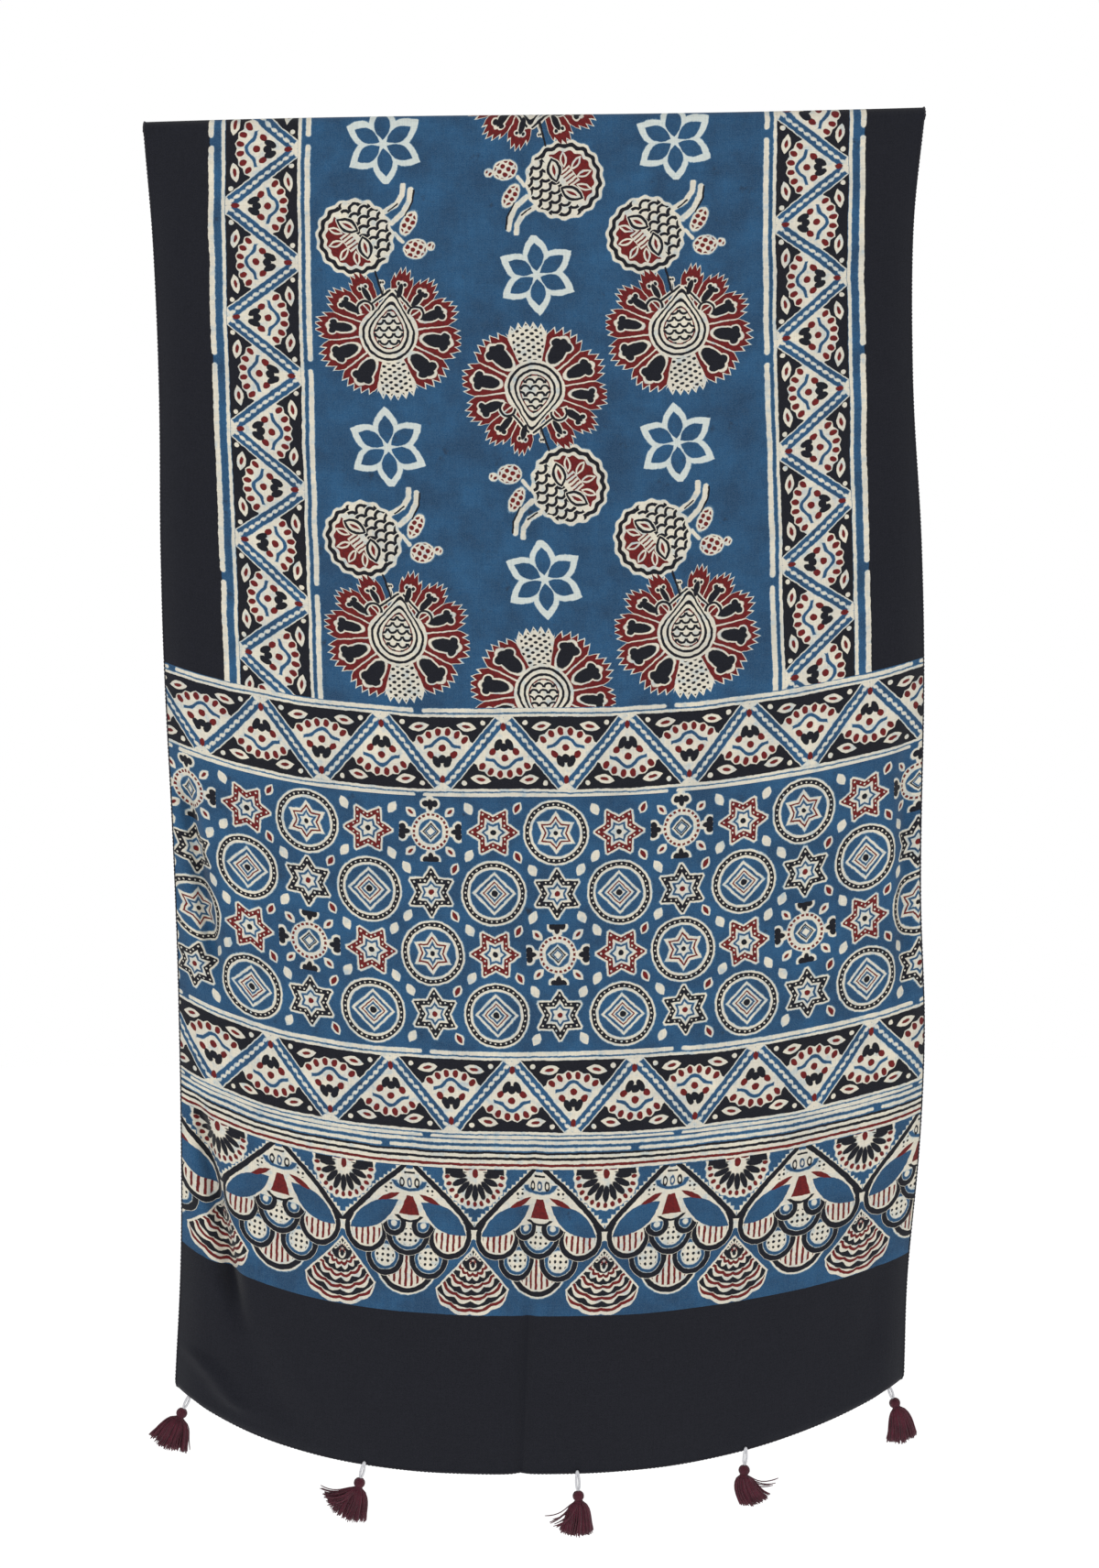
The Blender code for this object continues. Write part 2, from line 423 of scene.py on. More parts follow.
dyes = {
    "blue": (0.0125, 0.078, 0.186, 1.0),
    "deep blue": (0.0065, 0.040, 0.104, 1.0),
    "pale blue": (0.270, 0.440, 0.560, 1.0),
    "washed cream": (0.640, 0.690, 0.650, 1.0),
    "cream": (0.660, 0.625, 0.535, 1.0),
    "warm cream": (0.800, 0.740, 0.600, 1.0),
    "red": (0.190, 0.016, 0.015, 1.0),
    "dark red": (0.095, 0.012, 0.014, 1.0),
    "black": (0.0070, 0.0078, 0.0125, 1.0),
    "faded black": (0.019, 0.020, 0.027, 1.0),
}
# painting order, the dye, how sharp its edge is and whether a pale edge of blue goes round it
inkOrder = (
    ("Pale", "pale", 1.9, True),
    ("Cream", "cream", 2.6, True),
    ("Blue", "blue", 2.0, False),
    ("Red", "red", 2.6, False),
    ("Black", "black", 2.8, False),
    ("Over Cream", "cream", 2.8, False),
    ("Over Blue", "blue", 2.2, False),
    ("Over Red", "red", 2.6, False),
    ("Over Black", "black", 2.8, False),
)


def mixColour(drawing, factor, off, on):
    made = drawing.node("ShaderNodeMix", (factor,), 2, data_type="RGBA")
    drawing.feed(made.node.inputs[6:8], (off, on))
    return made


def noise(drawing, place, scale, detail=2.0, rough=0.5):
    made = drawing.node("ShaderNodeTexNoise", (), 0)
    drawing.tree.links.new(place, made.node.inputs["Vector"])
    made.node.inputs["Scale"].default_value = scale
    made.node.inputs["Detail"].default_value = detail
    made.node.inputs["Roughness"].default_value = rough
    return made


def groupTree(name, inputs, outputs):
    tree = bpy.data.node_groups.new(name, "ShaderNodeTree")
    for label, kind, value in inputs:
        socket = tree.interface.new_socket(label, in_out="INPUT", socket_type=kind)
        if value is not None:
            socket.default_value = value
    for label, kind in outputs:
        tree.interface.new_socket(label, in_out="OUTPUT", socket_type=kind)
    return tree, tree.nodes.new("NodeGroupInput"), tree.nodes.new("NodeGroupOutput")


def buildDyeGroup():
    inputs = [("Place", "NodeSocketVector", None), ("Black Ground", "NodeSocketFloat", clear)]
    inputs += [(name, "NodeSocketFloat", clear) for name, _, _, _ in inkOrder]
    tree, given, out = groupTree("block print dye", inputs, [("Color", "NodeSocketColor")])
    draw = Drawing(tree)
    place = given.outputs["Place"]
    grain = noise(draw, place, 0.62, 3.0, 0.6)
    cloud = noise(draw, place, 0.030, 4.0, 0.62)
    fine = noise(draw, place, 2.3, 1.0)
    patch = draw.scaled(cloud, 3.2, -1.15, clamp=True)
    speckle = draw.scaled(fine, 2.6, -0.8, clamp=True)
    blue = mixColour(draw, patch, dyes["deep blue"], dyes["blue"])
    blue = mixColour(draw, draw.times(speckle, 0.14), blue, dyes["pale blue"])
    stain = draw.scaled(noise(draw, place, 0.055, 5.0, 0.7), 9.0, -5.6, clamp=True)
    blue = mixColour(draw, draw.times(stain, 0.75), blue, dyes["faded black"])
    red = mixColour(draw, draw.scaled(grain, 2.4, -0.7, clamp=True), dyes["dark red"], dyes["red"])
    black = mixColour(draw, draw.times(speckle, 0.8), dyes["black"], dyes["faded black"])
    cream = mixColour(draw, patch, dyes["cream"], dyes["warm cream"])
    tinge = draw.scaled(noise(draw, place, 0.16, 2.0), 2.6, -1.35, clamp=True)
    cream = mixColour(draw, draw.times(tinge, 0.75), cream, dyes["pale blue"])
    washed = draw.scaled(grain, 2.2, 0.05, clamp=True)
    washed = mixColour(draw, washed, dyes["pale blue"], dyes["washed cream"])
    inkColours = {"blue": blue, "red": red, "black": black, "cream": cream, "pale": washed}
    ragged = draw.scaled(grain, 1.5, -0.25)  # wanders about a half
    ground = given.outputs["Black Ground"]
    colour = mixColour(draw, draw.scaled(ground, -2.4, ragged, clamp=True), blue, black)
    for name, dye, sharp, pale in inkOrder:
        shape = given.outputs[name]
        if pale:
            halo = draw.scaled(shape, -0.85, draw.plus(ragged, 0.15), clamp=True)
            onBlue = draw.scaled(ground, 2.0, 0.2, clamp=True)
            halo = draw.times(halo, onBlue)
            colour = mixColour(draw, draw.times(halo, 0.8), colour, dyes["pale blue"])
        cover = draw.scaled(shape, -sharp, ragged, clamp=True)
        if name == "Blue":
            halo = draw.scaled(shape, -0.9, draw.plus(ragged, 0.2), clamp=True)
            colour = mixColour(draw, draw.times(halo, 0.7), colour, dyes["pale blue"])
        colour = mixColour(draw, cover, colour, inkColours[dye])
    tree.links.new(colour, out.inputs["Color"])
    return tree


def buildWeaveGroup():
    inputs = [("Place", "NodeSocketVector", None), ("Threads", "NodeSocketFloat", 1.9)]
    outputs = [("Height", "NodeSocketFloat"), ("Shade", "NodeSocketFloat")]
    tree, given, out = groupTree("cotton weave", inputs, outputs)
    draw = Drawing(tree)
    place = given.outputs["Place"]
    pitch = given.outputs["Threads"]
    x, y = draw.split(place)
    turns = draw.times(pitch, math.tau)
    warp = draw.calc("SINE", draw.times(x, turns))
    weft = draw.calc("SINE", draw.times(y, turns))
    threads = draw.times(warp, weft)
    slubX = noise(draw, draw.vector("MULTIPLY", place, (1.3, 0.045, 1.0)), 1.0, 2.0)
    slubY = noise(draw, draw.vector("MULTIPLY", place, (0.045, 1.3, 1.0)), 1.0, 2.0)
    slub = draw.plus(slubX, slubY)
    height = draw.scaled(threads, 0.25, slub)
    tree.links.new(height, out.inputs["Height"])
    tree.links.new(draw.scaled(slub, 0.30, 0.70), out.inputs["Shade"])
    return tree


clothFinish = {
    "roughness": 0.88,
    "sheen": 0.12,
    "sheenRoughness": 0.5,
    "specular": 0.15,
    "bump": 0.35,
    "bumpDistance": 0.0003,
}
# how far the blocks' print wanders, quick and slow, in millimetres
wander = (
    {"reach": 0.6, "scale": 0.24, "detail": 1.5},
    {"reach": 1.5, "scale": 0.021, "detail": 1.0},
)


def clothMaterial(name, drawPrint, groups):
    dye, weave = groups
    material = bpy.data.materials.new(name)
    material.use_nodes = True
    tree = material.node_tree
    shader = tree.nodes["Principled BSDF"]
    draw = Drawing(tree)
    flat = draw.node("ShaderNodeUVMap", (), uv_map="flatCloth")
    even = draw.vector("MULTIPLY_ADD", flat, (1000.0, 1000.0, 0.0), (0.0, 0.0, 1.0))
    clouds = []
    for drift in wander:
        cloud = draw.node("ShaderNodeTexNoise", (), 1).node
        tree.links.new(even, cloud.inputs["Vector"])
        cloud.inputs["Scale"].default_value = drift["scale"]
        cloud.inputs["Detail"].default_value = drift["detail"]
        clouds.append((cloud.outputs[1], drift["reach"]))
    place = even
    for cloud, reach in clouds:
        shift = draw.vector("MULTIPLY_ADD", cloud, (reach * 2, reach * 2, 0.0), (-reach, -reach, 0.0))
        place = draw.vector("ADD", place, shift)
    drawPrint(draw, place)
    draw.place()
    print("  ", name, len(tree.nodes), "nodes")
    stain = tree.nodes.new("ShaderNodeGroup")
    stain.node_tree = dye
    tree.links.new(even, stain.inputs["Place"])
    for ink, shape in draw.inks.items():
        tree.links.new(shape, stain.inputs[ink])
    threads = tree.nodes.new("ShaderNodeGroup")
    threads.node_tree = weave
    tree.links.new(even, threads.inputs["Place"])
    shaded = draw.node("ShaderNodeMix", (1.0,), 2, data_type="RGBA", blend_type="MULTIPLY").node
    tree.links.new(stain.outputs["Color"], shaded.inputs[6])
    tree.links.new(threads.outputs["Shade"], shaded.inputs[7])
    tree.links.new(shaded.outputs[2], shader.inputs["Base Color"])
    bump = tree.nodes.new("ShaderNodeBump")
    bump.inputs["Strength"].default_value = clothFinish["bump"]
    bump.inputs["Distance"].default_value = clothFinish["bumpDistance"]
    tree.links.new(threads.outputs["Height"], bump.inputs["Height"])
    tree.links.new(bump.outputs["Normal"], shader.inputs["Normal"])
    shader.inputs["Roughness"].default_value = clothFinish["roughness"]
    shader.inputs["Sheen Weight"].default_value = clothFinish["sheen"]
    shader.inputs["Sheen Roughness"].default_value = clothFinish["sheenRoughness"]
    shader.inputs["Specular IOR Level"].default_value = clothFinish["specular"]
    return material


def drawTriangle(draw, depth, side, slope):
    # depth runs from the tip to the base, side away from the axis; slope is the side's lean
    place = draw.point(depth, side)
    lean = math.atan2(slope, 1.0)
    toBar = draw.dot(place, math.sin(lean), -math.cos(lean))
    hub = 18.0
    out = draw.minus(depth, hub)
    angle = draw.angle(side, out)
    radius = draw.distance(place, hub, 0.0)
    step = math.radians(8.5)
    bead = draw.minus(draw.fold(angle, step), step)
    beadPlace, _, _ = draw.swung(radius, bead)
    scallop = draw.scaled(draw.away(bead), 11.0, radius)
    fan = draw.minus(scallop, 27.2)
    fan = draw.meet(fan, draw.minus(4.2, toBar))
    draw.ink("Cream", fan)
    draw.ink("Cream", draw.line(toBar, 0.0, 5.0))
    wide = draw.calc("LESS_THAN", angle, math.radians(53))
    dots = draw.oval(beadPlace, 23.4, 0.0, 2.9, 2.1)
    dots = draw.scaled(draw.minus(1.0, wide), 9.0, dots)
    draw.ink("Red", dots, draw.oval(place, 7.0, 0.0, 3.0, 1.9), draw.spot(place, 29.6, 0.0, 2.6))
    draw.ink("Red", draw.oval(place, 24.9, 8.2, 2.9, 2.3, 0.7))
    wave = draw.calc("COSINE", draw.times(angle, 6.0))
    wave = draw.scaled(wave, -1.7, radius)
    wave = draw.line(wave, 17.2, 1.25)
    draw.ink("Blue", draw.meet(wave, draw.minus(side, 13.2)))
    bow = draw.least(draw.oval(place, 19.8, 3.9, 4.6, 2.6, 0.45), draw.spot(place, 21.8, 0.0, 3.0))
    draw.ink("Black", bow)
    leaf = draw.leaf(place, 45.0, 17.2, 7.4, 3.3, 1.75)
    draw.ink("Over Cream", leaf)
    draw.ink("Over Cream", draw.spot(place, 47.6, 29.2, 1.8))
    draw.ink("Over Red", draw.oval(place, 45.0, 17.2, 3.2, 1.3, 1.75))
    return toBar


def drawZigzag(draw, run, rise, depth, pitch):
    # run goes along the band, rise from 0 at one edge to depth at the other
    half = pitch / 2
    near = draw.fold(run, half)
    over = draw.scaled(rise, half, draw.times(near, -depth))
    opens = draw.calc("GREATER_THAN", over, 0.0)
    deep = draw.pick(opens, draw.minus(depth, rise), rise)
    side = draw.pick(opens, draw.minus(half, near), near)
    toBar = drawTriangle(draw, deep, side, half / depth)
    # bar along the zigzag: two blue bands with a bead chain between them
    length = math.hypot(half, depth)
    onBar = draw.point(deep, side)
    lean = math.atan2(half, depth)
    down = draw.dot(onBar, math.cos(lean), math.sin(lean))
    chain = draw.fold(down, 2.8)
    bead = draw.node("ShaderNodeCombineXYZ", (chain, toBar, 0.0))
    bead = draw.minus(draw.vector("LENGTH", draw.vector("MULTIPLY", bead, (0.60, 1.0, 0.0))), 1.45)
    tips = draw.away(draw.minus(down, length / 2))
    ends = draw.minus(tips, length / 2 - 4.5)
    bar = draw.meet(draw.line(toBar, 0.0, 4.1), ends)
    draw.ink("Blue", draw.less(bar, bead, draw.line(toBar, 0.0, 0.3)))


def drawLines(draw, run, rise, rows, joints):
    # rows: where, half width, whether it stops at the block joints
    period, gap, phase = joints
    near = draw.fold(draw.minus(run, phase), period / 2)
    for at, half, stops in rows:
        if stops:
            past = draw.most(draw.minus(gap / 2 + half, near), 0.0)
            away = draw.minus(rise, at)
            size = draw.length(past, away)
            draw.ink("Cream", draw.minus(size, half))
        else:
            draw.ink("Cream", draw.line(rise, at, half))


sideBorder = {"pitch": 83.5, "depth": 51.6, "left": (-220.6, 107.3), "right": (174.3, 126.5)}


def drawSideBorder(draw, place):
    # both side borders in one: the rise is measured from the band's left edge
    u, v = draw.split(place)
    isRight = draw.calc("GREATER_THAN", u, 0.0)
    rise = draw.minus(u, draw.pick(isRight, sideBorder["left"][0], sideBorder["right"][0]))
    depth, pitch = sideBorder["depth"], sideBorder["pitch"]
    starts = sideBorder["left"][1] - pitch / 2, sideBorder["right"][1] - pitch / 2
    run = draw.minus(v, draw.pick(isRight, starts[0], starts[1]))
    inBand = draw.line(rise, depth / 2, depth / 2)
    drawZigzag(draw, run, rise, depth, pitch)
    draw.keepIn(inBand)
    # from the nearer outer selvedge inwards the lines run in the same order on both sides
    lines = ((-10.4, 1.9, True), (-1.6, 1.2, False), (depth + 1.2, 1.1, False), (depth + 7.2, 1.8, True))
    mirrored = draw.pick(isRight, rise, draw.minus(depth, rise))
    drawLines(draw, v, mirrored, lines, (164.0, 6.0, 18.0))
    draw.ink("Black Ground", inBand, draw.plus(mirrored, 11.4))


def drawBlossom(draw, place):
    # a fan flower seen from the side, its middle at 0, 0 and its stem going up
    a = draw.along(place, 0, 0, math.radians(83))
    b = draw.along(place, 0, 0, math.radians(173))
    angle = draw.angle(b, a)
    angle = draw.scaled(draw.calc("SINE", angle), -0.24, angle)  # widest opposite the stem
    radius = draw.vector("LENGTH", draw.vector("MULTIPLY", place, (0.97, 1.09, 0.0)))
    step = math.radians(30.5)
    slot = draw.nearest(angle, step)
    bend = draw.scaled(slot, -step, angle)
    count = draw.away(slot)
    outer = draw.minus(count, 5.4)  # past the last petal, where the stem is
    petalPlace, _, _ = draw.swung(radius, bend)
    petalSide = draw.away(draw.dot(petalPlace, 0.0, 1.0))
    crown = draw.scaled(draw.fold(petalSide, 2.3), 2.1, radius)
    notch = draw.scaled(count, 26.0, 34.0)
    crown = draw.plus(crown, draw.times(draw.times(bend, bend), notch))
    reach = draw.scaled(count, 0.3, 52.6)
    rim = draw.minus(crown, reach)
    rim = draw.most(rim, draw.times(outer, 9.0))
    gap = draw.scaled(radius, 0.272, -0.75)
    flank = draw.minus(petalSide, gap)
    isPetal = draw.calc("GREATER_THAN", count, 0.5)
    draw.ink("Cream", rim)
    petal = draw.meet(draw.plus(rim, 1.2), flank, draw.minus(21.0, radius))
    petal = draw.scaled(draw.minus(1.0, isPetal), 30.0, petal)
    draw.ink("Red", petal)
    half = draw.point(draw.dot(petalPlace, 1.0, 0.0), petalSide)
    core = draw.least(draw.oval(half, 34.0, 0.0, 9.0, 3.9), draw.spot(half, 39.6, 3.1, 2.7))
    core = draw.scaled(draw.minus(count, 2.6), 0.5, core)
    core = draw.scaled(draw.minus(1.0, isPetal), 20.0, core)
    draw.ink("Over Cream", draw.minus(core, 1.05))
    draw.ink("Over Black", core)
    # dotted cluster opposite the stem
    grid = draw.point(
        draw.fold(draw.dot(petalPlace, 0.75, 0.66), 1.9),
        draw.fold(draw.dot(petalPlace, 0.75, -0.66), 1.9),
    )
    dots = draw.spot(grid, 0.0, 0.0, 1.15)
    dots = draw.meet(dots, draw.plus(rim, 1.5), draw.minus(petalSide, 9.0))
    dots = draw.scaled(isPetal, 20.0, draw.most(dots, draw.minus(23.0, radius)))
    draw.ink("Black", dots)
    # teardrop middle with nested outlines and scales
    up = draw.dot(place, 0.10, -1.0)
    across = draw.dot(place, 1.0, 0.10)
    high = draw.most(up, 0.0)
    squash = draw.scaled(high, -0.34, up)
    narrow = draw.scaled(draw.times(high, high), 0.0022, 1.0)
    size = draw.node("ShaderNodeCombineXYZ", (draw.times(across, narrow), squash, 0.0))
    drop = draw.minus(draw.vector("LENGTH", size), 20.0)
    draw.ink("Over Cream", draw.minus(drop, 1.4))
    draw.ink("Over Black", draw.line(drop, -1.4, 0.95), draw.line(drop, -5.8, 0.9))
    draw.ink("Over Red", draw.line(drop, -9.2, 0.5))
    drawScales(draw, place, draw.plus(drop, 8.6), 7.0, 4.8, 0.85)
    # curled tendrils and the stem
    folded = draw.point(draw.away(across), up)
    curl = draw.line(draw.spot(folded, 18.5, 15.5, 0.0), 5.6, 0.9)
    curl = draw.meet(curl, draw.along(folded, 18.5, 13.0, math.radians(-110)))
    curl = draw.least(curl, draw.stroke(folded, 2.0, 31.0, 14.5, 19.5, 0.8))
    draw.ink("Over Cream", draw.minus(curl, 1.0))
    draw.ink("Over Black", curl)
    draw.ink("Over Cream", draw.stroke(place, -6.0, -37.0, -2.5, -27.0, 1.4))
    draw.ink("Over Black", draw.stroke(place, -9.0, -44.0, -4.0, -27.0, 0.8))


def drawScales(draw, place, within, wide, high, thick):
    x = draw.dot(place, 1.0, 0.0)
    y = draw.dot(place, 0.0, 1.0)
    row = draw.calc("FLOOR", draw.calc("DIVIDE", y, high))
    odd = draw.fold(row, 1.0)
    x = draw.fold(draw.scaled(odd, wide / 2, x), wide / 2)
    y = draw.scaled(row, -high, y)
    arc = draw.length(x, y)
    draw.ink("Over Black", draw.meet(draw.line(arc, wide * 0.44, thick), within))


def drawBud(draw, place):
    # a round bud: its middle at 0, 0, the red half towards +x
    around = draw.distance(place, 0.0, 0.0)
    x = draw.dot(place, 1.0, 0.0)
    y = draw.dot(place, 0.0, 1.0)
    angle = draw.angle(y, x)
    wave = draw.calc("COSINE", draw.times(angle, 17.0))
    size = draw.scaled(wave, -0.7, around)
    draw.ink("Cream", draw.minus(size, 28.2))
    open = draw.minus(-4.0, x)
    draw.ink("Black", draw.meet(draw.line(size, 24.6, 1.5), open))
    red = draw.meet(draw.minus(size, 20.6), draw.minus(2.0, x))
    draw.ink("Red", red)
    step = math.radians(19)
    petalPlace, _, _ = draw.swung(around, draw.minus(draw.fold(angle, step), step))
    front = draw.times(draw.calc("LESS_THAN", x, 5.0), 9.0)
    petal = draw.plus(draw.leaf(petalPlace, 14.8, 0.0, 5.8, 2.6), front)
    draw.ink("Over Cream", petal)
    draw.ink("Over Red", draw.plus(petal, 1.4))
    stripes = draw.line(draw.fold(y, 1.5), 1.5, 0.6)
    block = draw.meet(draw.line(x, 4.4, 4.0), draw.line(y, 0.0, 6.0))
    draw.ink("Over Cream", draw.meet(draw.line(x, 4.4, 4.6), draw.line(y, 0.0, 6.6)))
    draw.ink("Over Red", draw.meet(stripes, block))
    eyes = [draw.leaf(place, -1.5, side * 10.5, 8.6, 4.8, math.radians(90 - side * 25)) for side in (-1, 1)]
    eye = draw.least(*eyes)
    draw.ink("Over Cream", draw.minus(eye, 1.4))
    draw.ink("Over Black", draw.line(eye, -0.6, 1.1))
    draw.ink("Over Red", draw.plus(eye, 3.6))
    within = draw.meet(draw.minus(size, 26.0), draw.plus(x, 3.4), draw.minus(1.2, eye))
    drawScales(draw, place, within, 8.6, 5.6, 1.1)


def drawBudStems(draw, place):
    # two strands and two berry clusters beside the bud, in the blossom's place
    strands = (
        ((-2.0, -88.0), (6.5, -93.0), (10.8, -100.0), (11.2, -106.5)),
        ((4.0, -80.0), (12.0, -87.5), (16.0, -96.0), (16.8, -103.5)),
    )
    for strand in strands:
        shapes = [draw.stroke(place, *start, *end, 1.9) for start, end in zip(strand, strand[1:])]
        draw.ink("Cream", *shapes)
    veins = ((13.2, -85.0, 18.2, -95.0, 0.6), (18.2, -95.0, 19.0, -103.0, 0.7))
    draw.ink("Over Black", *[draw.stroke(place, *vein) for vein in veins])
    draw.ink("Over Black", draw.stroke(place, 1.0, -88.5, 7.5, -93.5, 0.6))
    draw.ink("Cream", draw.stroke(place, 6.0, -72.0, 11.0, -66.0, 1.3))
    berries = (
        draw.oval(place, 15.6, -79.4, 9.6, 5.0, math.radians(-62)),
        draw.oval(place, 20.0, -60.8, 8.8, 7.2, math.radians(-10)),
        draw.spot(place, 31.2, -62.6, 3.2),
    )
    draw.ink("Cream", *berries)
    x = draw.fold(draw.dot(place, 0.88, 0.48), 2.2)
    y = draw.fold(draw.dot(place, -0.48, 0.88), 2.2)
    dots = draw.spot(draw.point(x, y), 0.0, 0.0, 1.65)
    inside = draw.least(draw.least(berries[0], berries[1]), berries[2])
    draw.ink("Red", draw.meet(dots, draw.plus(inside, 1.0)))


def drawSixStar(draw, place, phase):
    star, away, _ = draw.around(place, 0.0, 0.0, 6, phase)
    outer = draw.least(draw.leaf(star, 13.4, 0.0, 16.2, 9.2), draw.minus(away, 15.0))
    draw.ink("Pale", outer)
    draw.ink("Blue", draw.leaf(star, 13.0, 0.0, 10.0, 5.5))


field = {"columns": 104.0, "middle": -0.5, "rows": 218.0, "outerDown": 157.5, "innerDown": 197.5}


def drawField(draw, place):
    u, v = draw.split(place)
    u = draw.minus(u, field["middle"])
    column = draw.nearest(u, field["columns"])
    column = draw.most(draw.least(column, 1.0), -1.0)
    turned = draw.minus(1.0, draw.least(draw.away(column), 1.0))
    way = draw.scaled(turned, -2.0, 1.0)
    x = draw.times(draw.scaled(column, -field["columns"], u), way)
    start = draw.pick(turned, field["outerDown"], field["innerDown"])
    y = draw.times(draw.minus(v, start), way)
    y = draw.calc("WRAP", y, 110.0, 110.0 - field["rows"])
    local = draw.point(x, y)
    drawBlossom(draw, local)
    draw.place()
    drawBudStems(draw, local)
    draw.place()
    drawBud(draw, draw.local(local, -23.0, -68.8, math.radians(142)))
    draw.place()
    drawSixStar(draw, draw.local(local, -3.0, 82.0), math.radians(26))


acrossBorder = {"pitch": 88.6, "depth": 52.0, "upper": (432.0, -29.2), "lower": (678.5, -29.2)}


def drawAcrossBorder(draw, place):
    # the two borders across the cloth; their shapes are the side borders' turned a quarter
    u, v = draw.split(place)
    v = draw.away(v)
    isLower = draw.calc("GREATER_THAN", v, 580.0)
    rise = draw.minus(v, draw.pick(isLower, acrossBorder["upper"][0], acrossBorder["lower"][0]))
    depth, pitch = acrossBorder["depth"], acrossBorder["pitch"]
    run = draw.minus(u, acrossBorder["upper"][1])
    inBand = draw.line(rise, depth / 2, depth / 2)
    drawZigzag(draw, run, rise, depth, pitch)
    draw.keepIn(inBand)
    lines = ((-4.6, 1.4, True), (-0.9, 0.9, False), (depth + 0.9, 0.9, False), (depth + 4.4, 1.4, True))
    drawLines(draw, run, rise, lines, (182.0, 6.0, 120.0))
    draw.ink("Black Ground", inBand)


starField = {"across": 45.2, "down": 43.7, "first": (-83.5, 515.3)}


def drawStarField(draw, place):
    u, v = draw.split(place)
    across, down = starField["across"], starField["down"]
    u = draw.minus(u, starField["first"][0])
    v = draw.minus(draw.away(v), starField["first"][1])
    column = draw.nearest(u, across)
    row = draw.nearest(v, down)
    row = draw.most(draw.least(row, 3.0), 0.0)
    oddColumn = draw.fold(column, 1.0)
    oddRow = draw.fold(row, 1.0)
    x = draw.scaled(column, -across, u)
    y = draw.scaled(row, -down, v)
    notStar = draw.calc("COMPARE", oddColumn, oddRow, 0.1)
    # stars: red ones point sideways, black ones up and down
    wedge = math.radians(30)
    angle = draw.scaled(oddRow, wedge, draw.angle(y, x))
    folded = draw.fold(angle, wedge)
    local = draw.point(x, y)
    star, radius, _ = draw.swung(draw.distance(local, 0.0, 0.0), folded)
    edge = draw.starEdge(star, 20.6, 12.4)
    edge = draw.most(edge, draw.minus(radius, 18.7))
    draw.ink("Cream", edge)
    band = draw.line(edge, -3.0, 1.7)
    isRed = draw.minus(1.0, oddRow)
    draw.ink("Red", draw.scaled(oddRow, 9.0, band))
    draw.ink("Black", draw.scaled(isRed, 9.0, band))
    dotted = draw.least(draw.spot(star, 14.6, 0.0, 0.72), draw.spot(star, 10.9, 2.9, 0.62))
    draw.ink("Over Cream", draw.least(dotted, draw.spot(star, 7.9, 4.5, 0.65)))
    inner = draw.starEdge(star, 8.4, 5.6)
    draw.ink("Blue", draw.line(inner, -0.7, 0.7))
    heart = draw.minus(radius, 2.0)
    draw.ink("Over Black", draw.scaled(oddRow, 9.0, heart))
    draw.ink("Over Red", draw.scaled(isRed, 9.0, heart))
    gem = draw.point(draw.away(x), draw.away(y))
    gem = draw.leaf(gem, 17.4, 17.0, 4.9, 3.1, math.radians(62))
    draw.ink("Cream", gem)
    some = draw.calc("SINE", draw.scaled(column, 7.3, draw.times(row, 3.1)))
    some = draw.calc("LESS_THAN", draw.plus(some, draw.calc("SIGN", x)), 0.2)
    draw.ink("Over Red", draw.scaled(some, 9.0, draw.plus(gem, 1.4)))
    draw.place(notStar)
    # rings round diamonds on odd places, suns and ringed stars by turns on even ones
    evenPlace = draw.minus(1.0, oddColumn)
    halfSum = draw.scaled(column, 0.5, draw.times(row, 0.5))
    byTurns = draw.fold(halfSum, 1.0)
    isSun = draw.times(evenPlace, draw.calc("LESS_THAN", byTurns, 0.5))
    near = draw.point(
        draw.fold(draw.plus(u, across), across),
        draw.minus(draw.away(draw.minus(v, down * 2)), down),
    )
    diamondRadius = draw.distance(near, 0.0, 0.0)
    starRing = draw.point(draw.fold(u, across * 2), v)
    first = draw.distance(starRing, across * 2, 0.0)
    second = draw.distance(starRing, 0.0, down * 2)
    ring = draw.least(diamondRadius, draw.least(first, second))
    draw.ink("Cream", draw.line(ring, 20.3, 3.1))
    draw.ink("Black", draw.line(ring, 20.5, 1.5))
    turn = draw.fold(draw.angle(y, x), math.tau / 68)
    bead = draw.times(turn, 20.3)
    bead = draw.length(bead, draw.minus(ring, 20.3))
    draw.ink("Over Cream", draw.minus(bead, 0.62))
    draw.place()
    isDiamond = draw.times(oddColumn, oddRow)
    lozenge = draw.plus(draw.away(x), draw.away(y))
    draw.ink("Cream", draw.scaled(lozenge, 0.71, -11.0))
    for at, half, ink in ((8.5, 0.85, "Blue"), (5.7, 0.45, "Red"), (3.6, 0.6, "Blue")):
        draw.ink(ink, draw.line(draw.times(lozenge, 0.71), at, half))
    draw.ink("Over Black", draw.minus(radius, 2.3))
    draw.place(draw.minus(1.0, isDiamond))
    folded = draw.fold(draw.plus(draw.angle(y, x), wedge), wedge)
    star, _, _ = draw.swung(radius, folded)
    edge = draw.starEdge(star, 15.4, 9.9)
    draw.ink("Cream", edge)
    draw.ink("Red", draw.line(edge, -2.4, 0.6))
    inner = draw.starEdge(star, 7.6, 4.6)
    draw.ink("Blue", draw.line(inner, -0.3, 0.7))
    draw.ink("Over Black", draw.minus(radius, 1.7))
    isRingStar = draw.times(evenPlace, draw.minus(1.0, oddRow))
    isRingStar = draw.times(isRingStar, draw.calc("GREATER_THAN", byTurns, 0.5))
    draw.place(draw.minus(1.0, isRingStar))
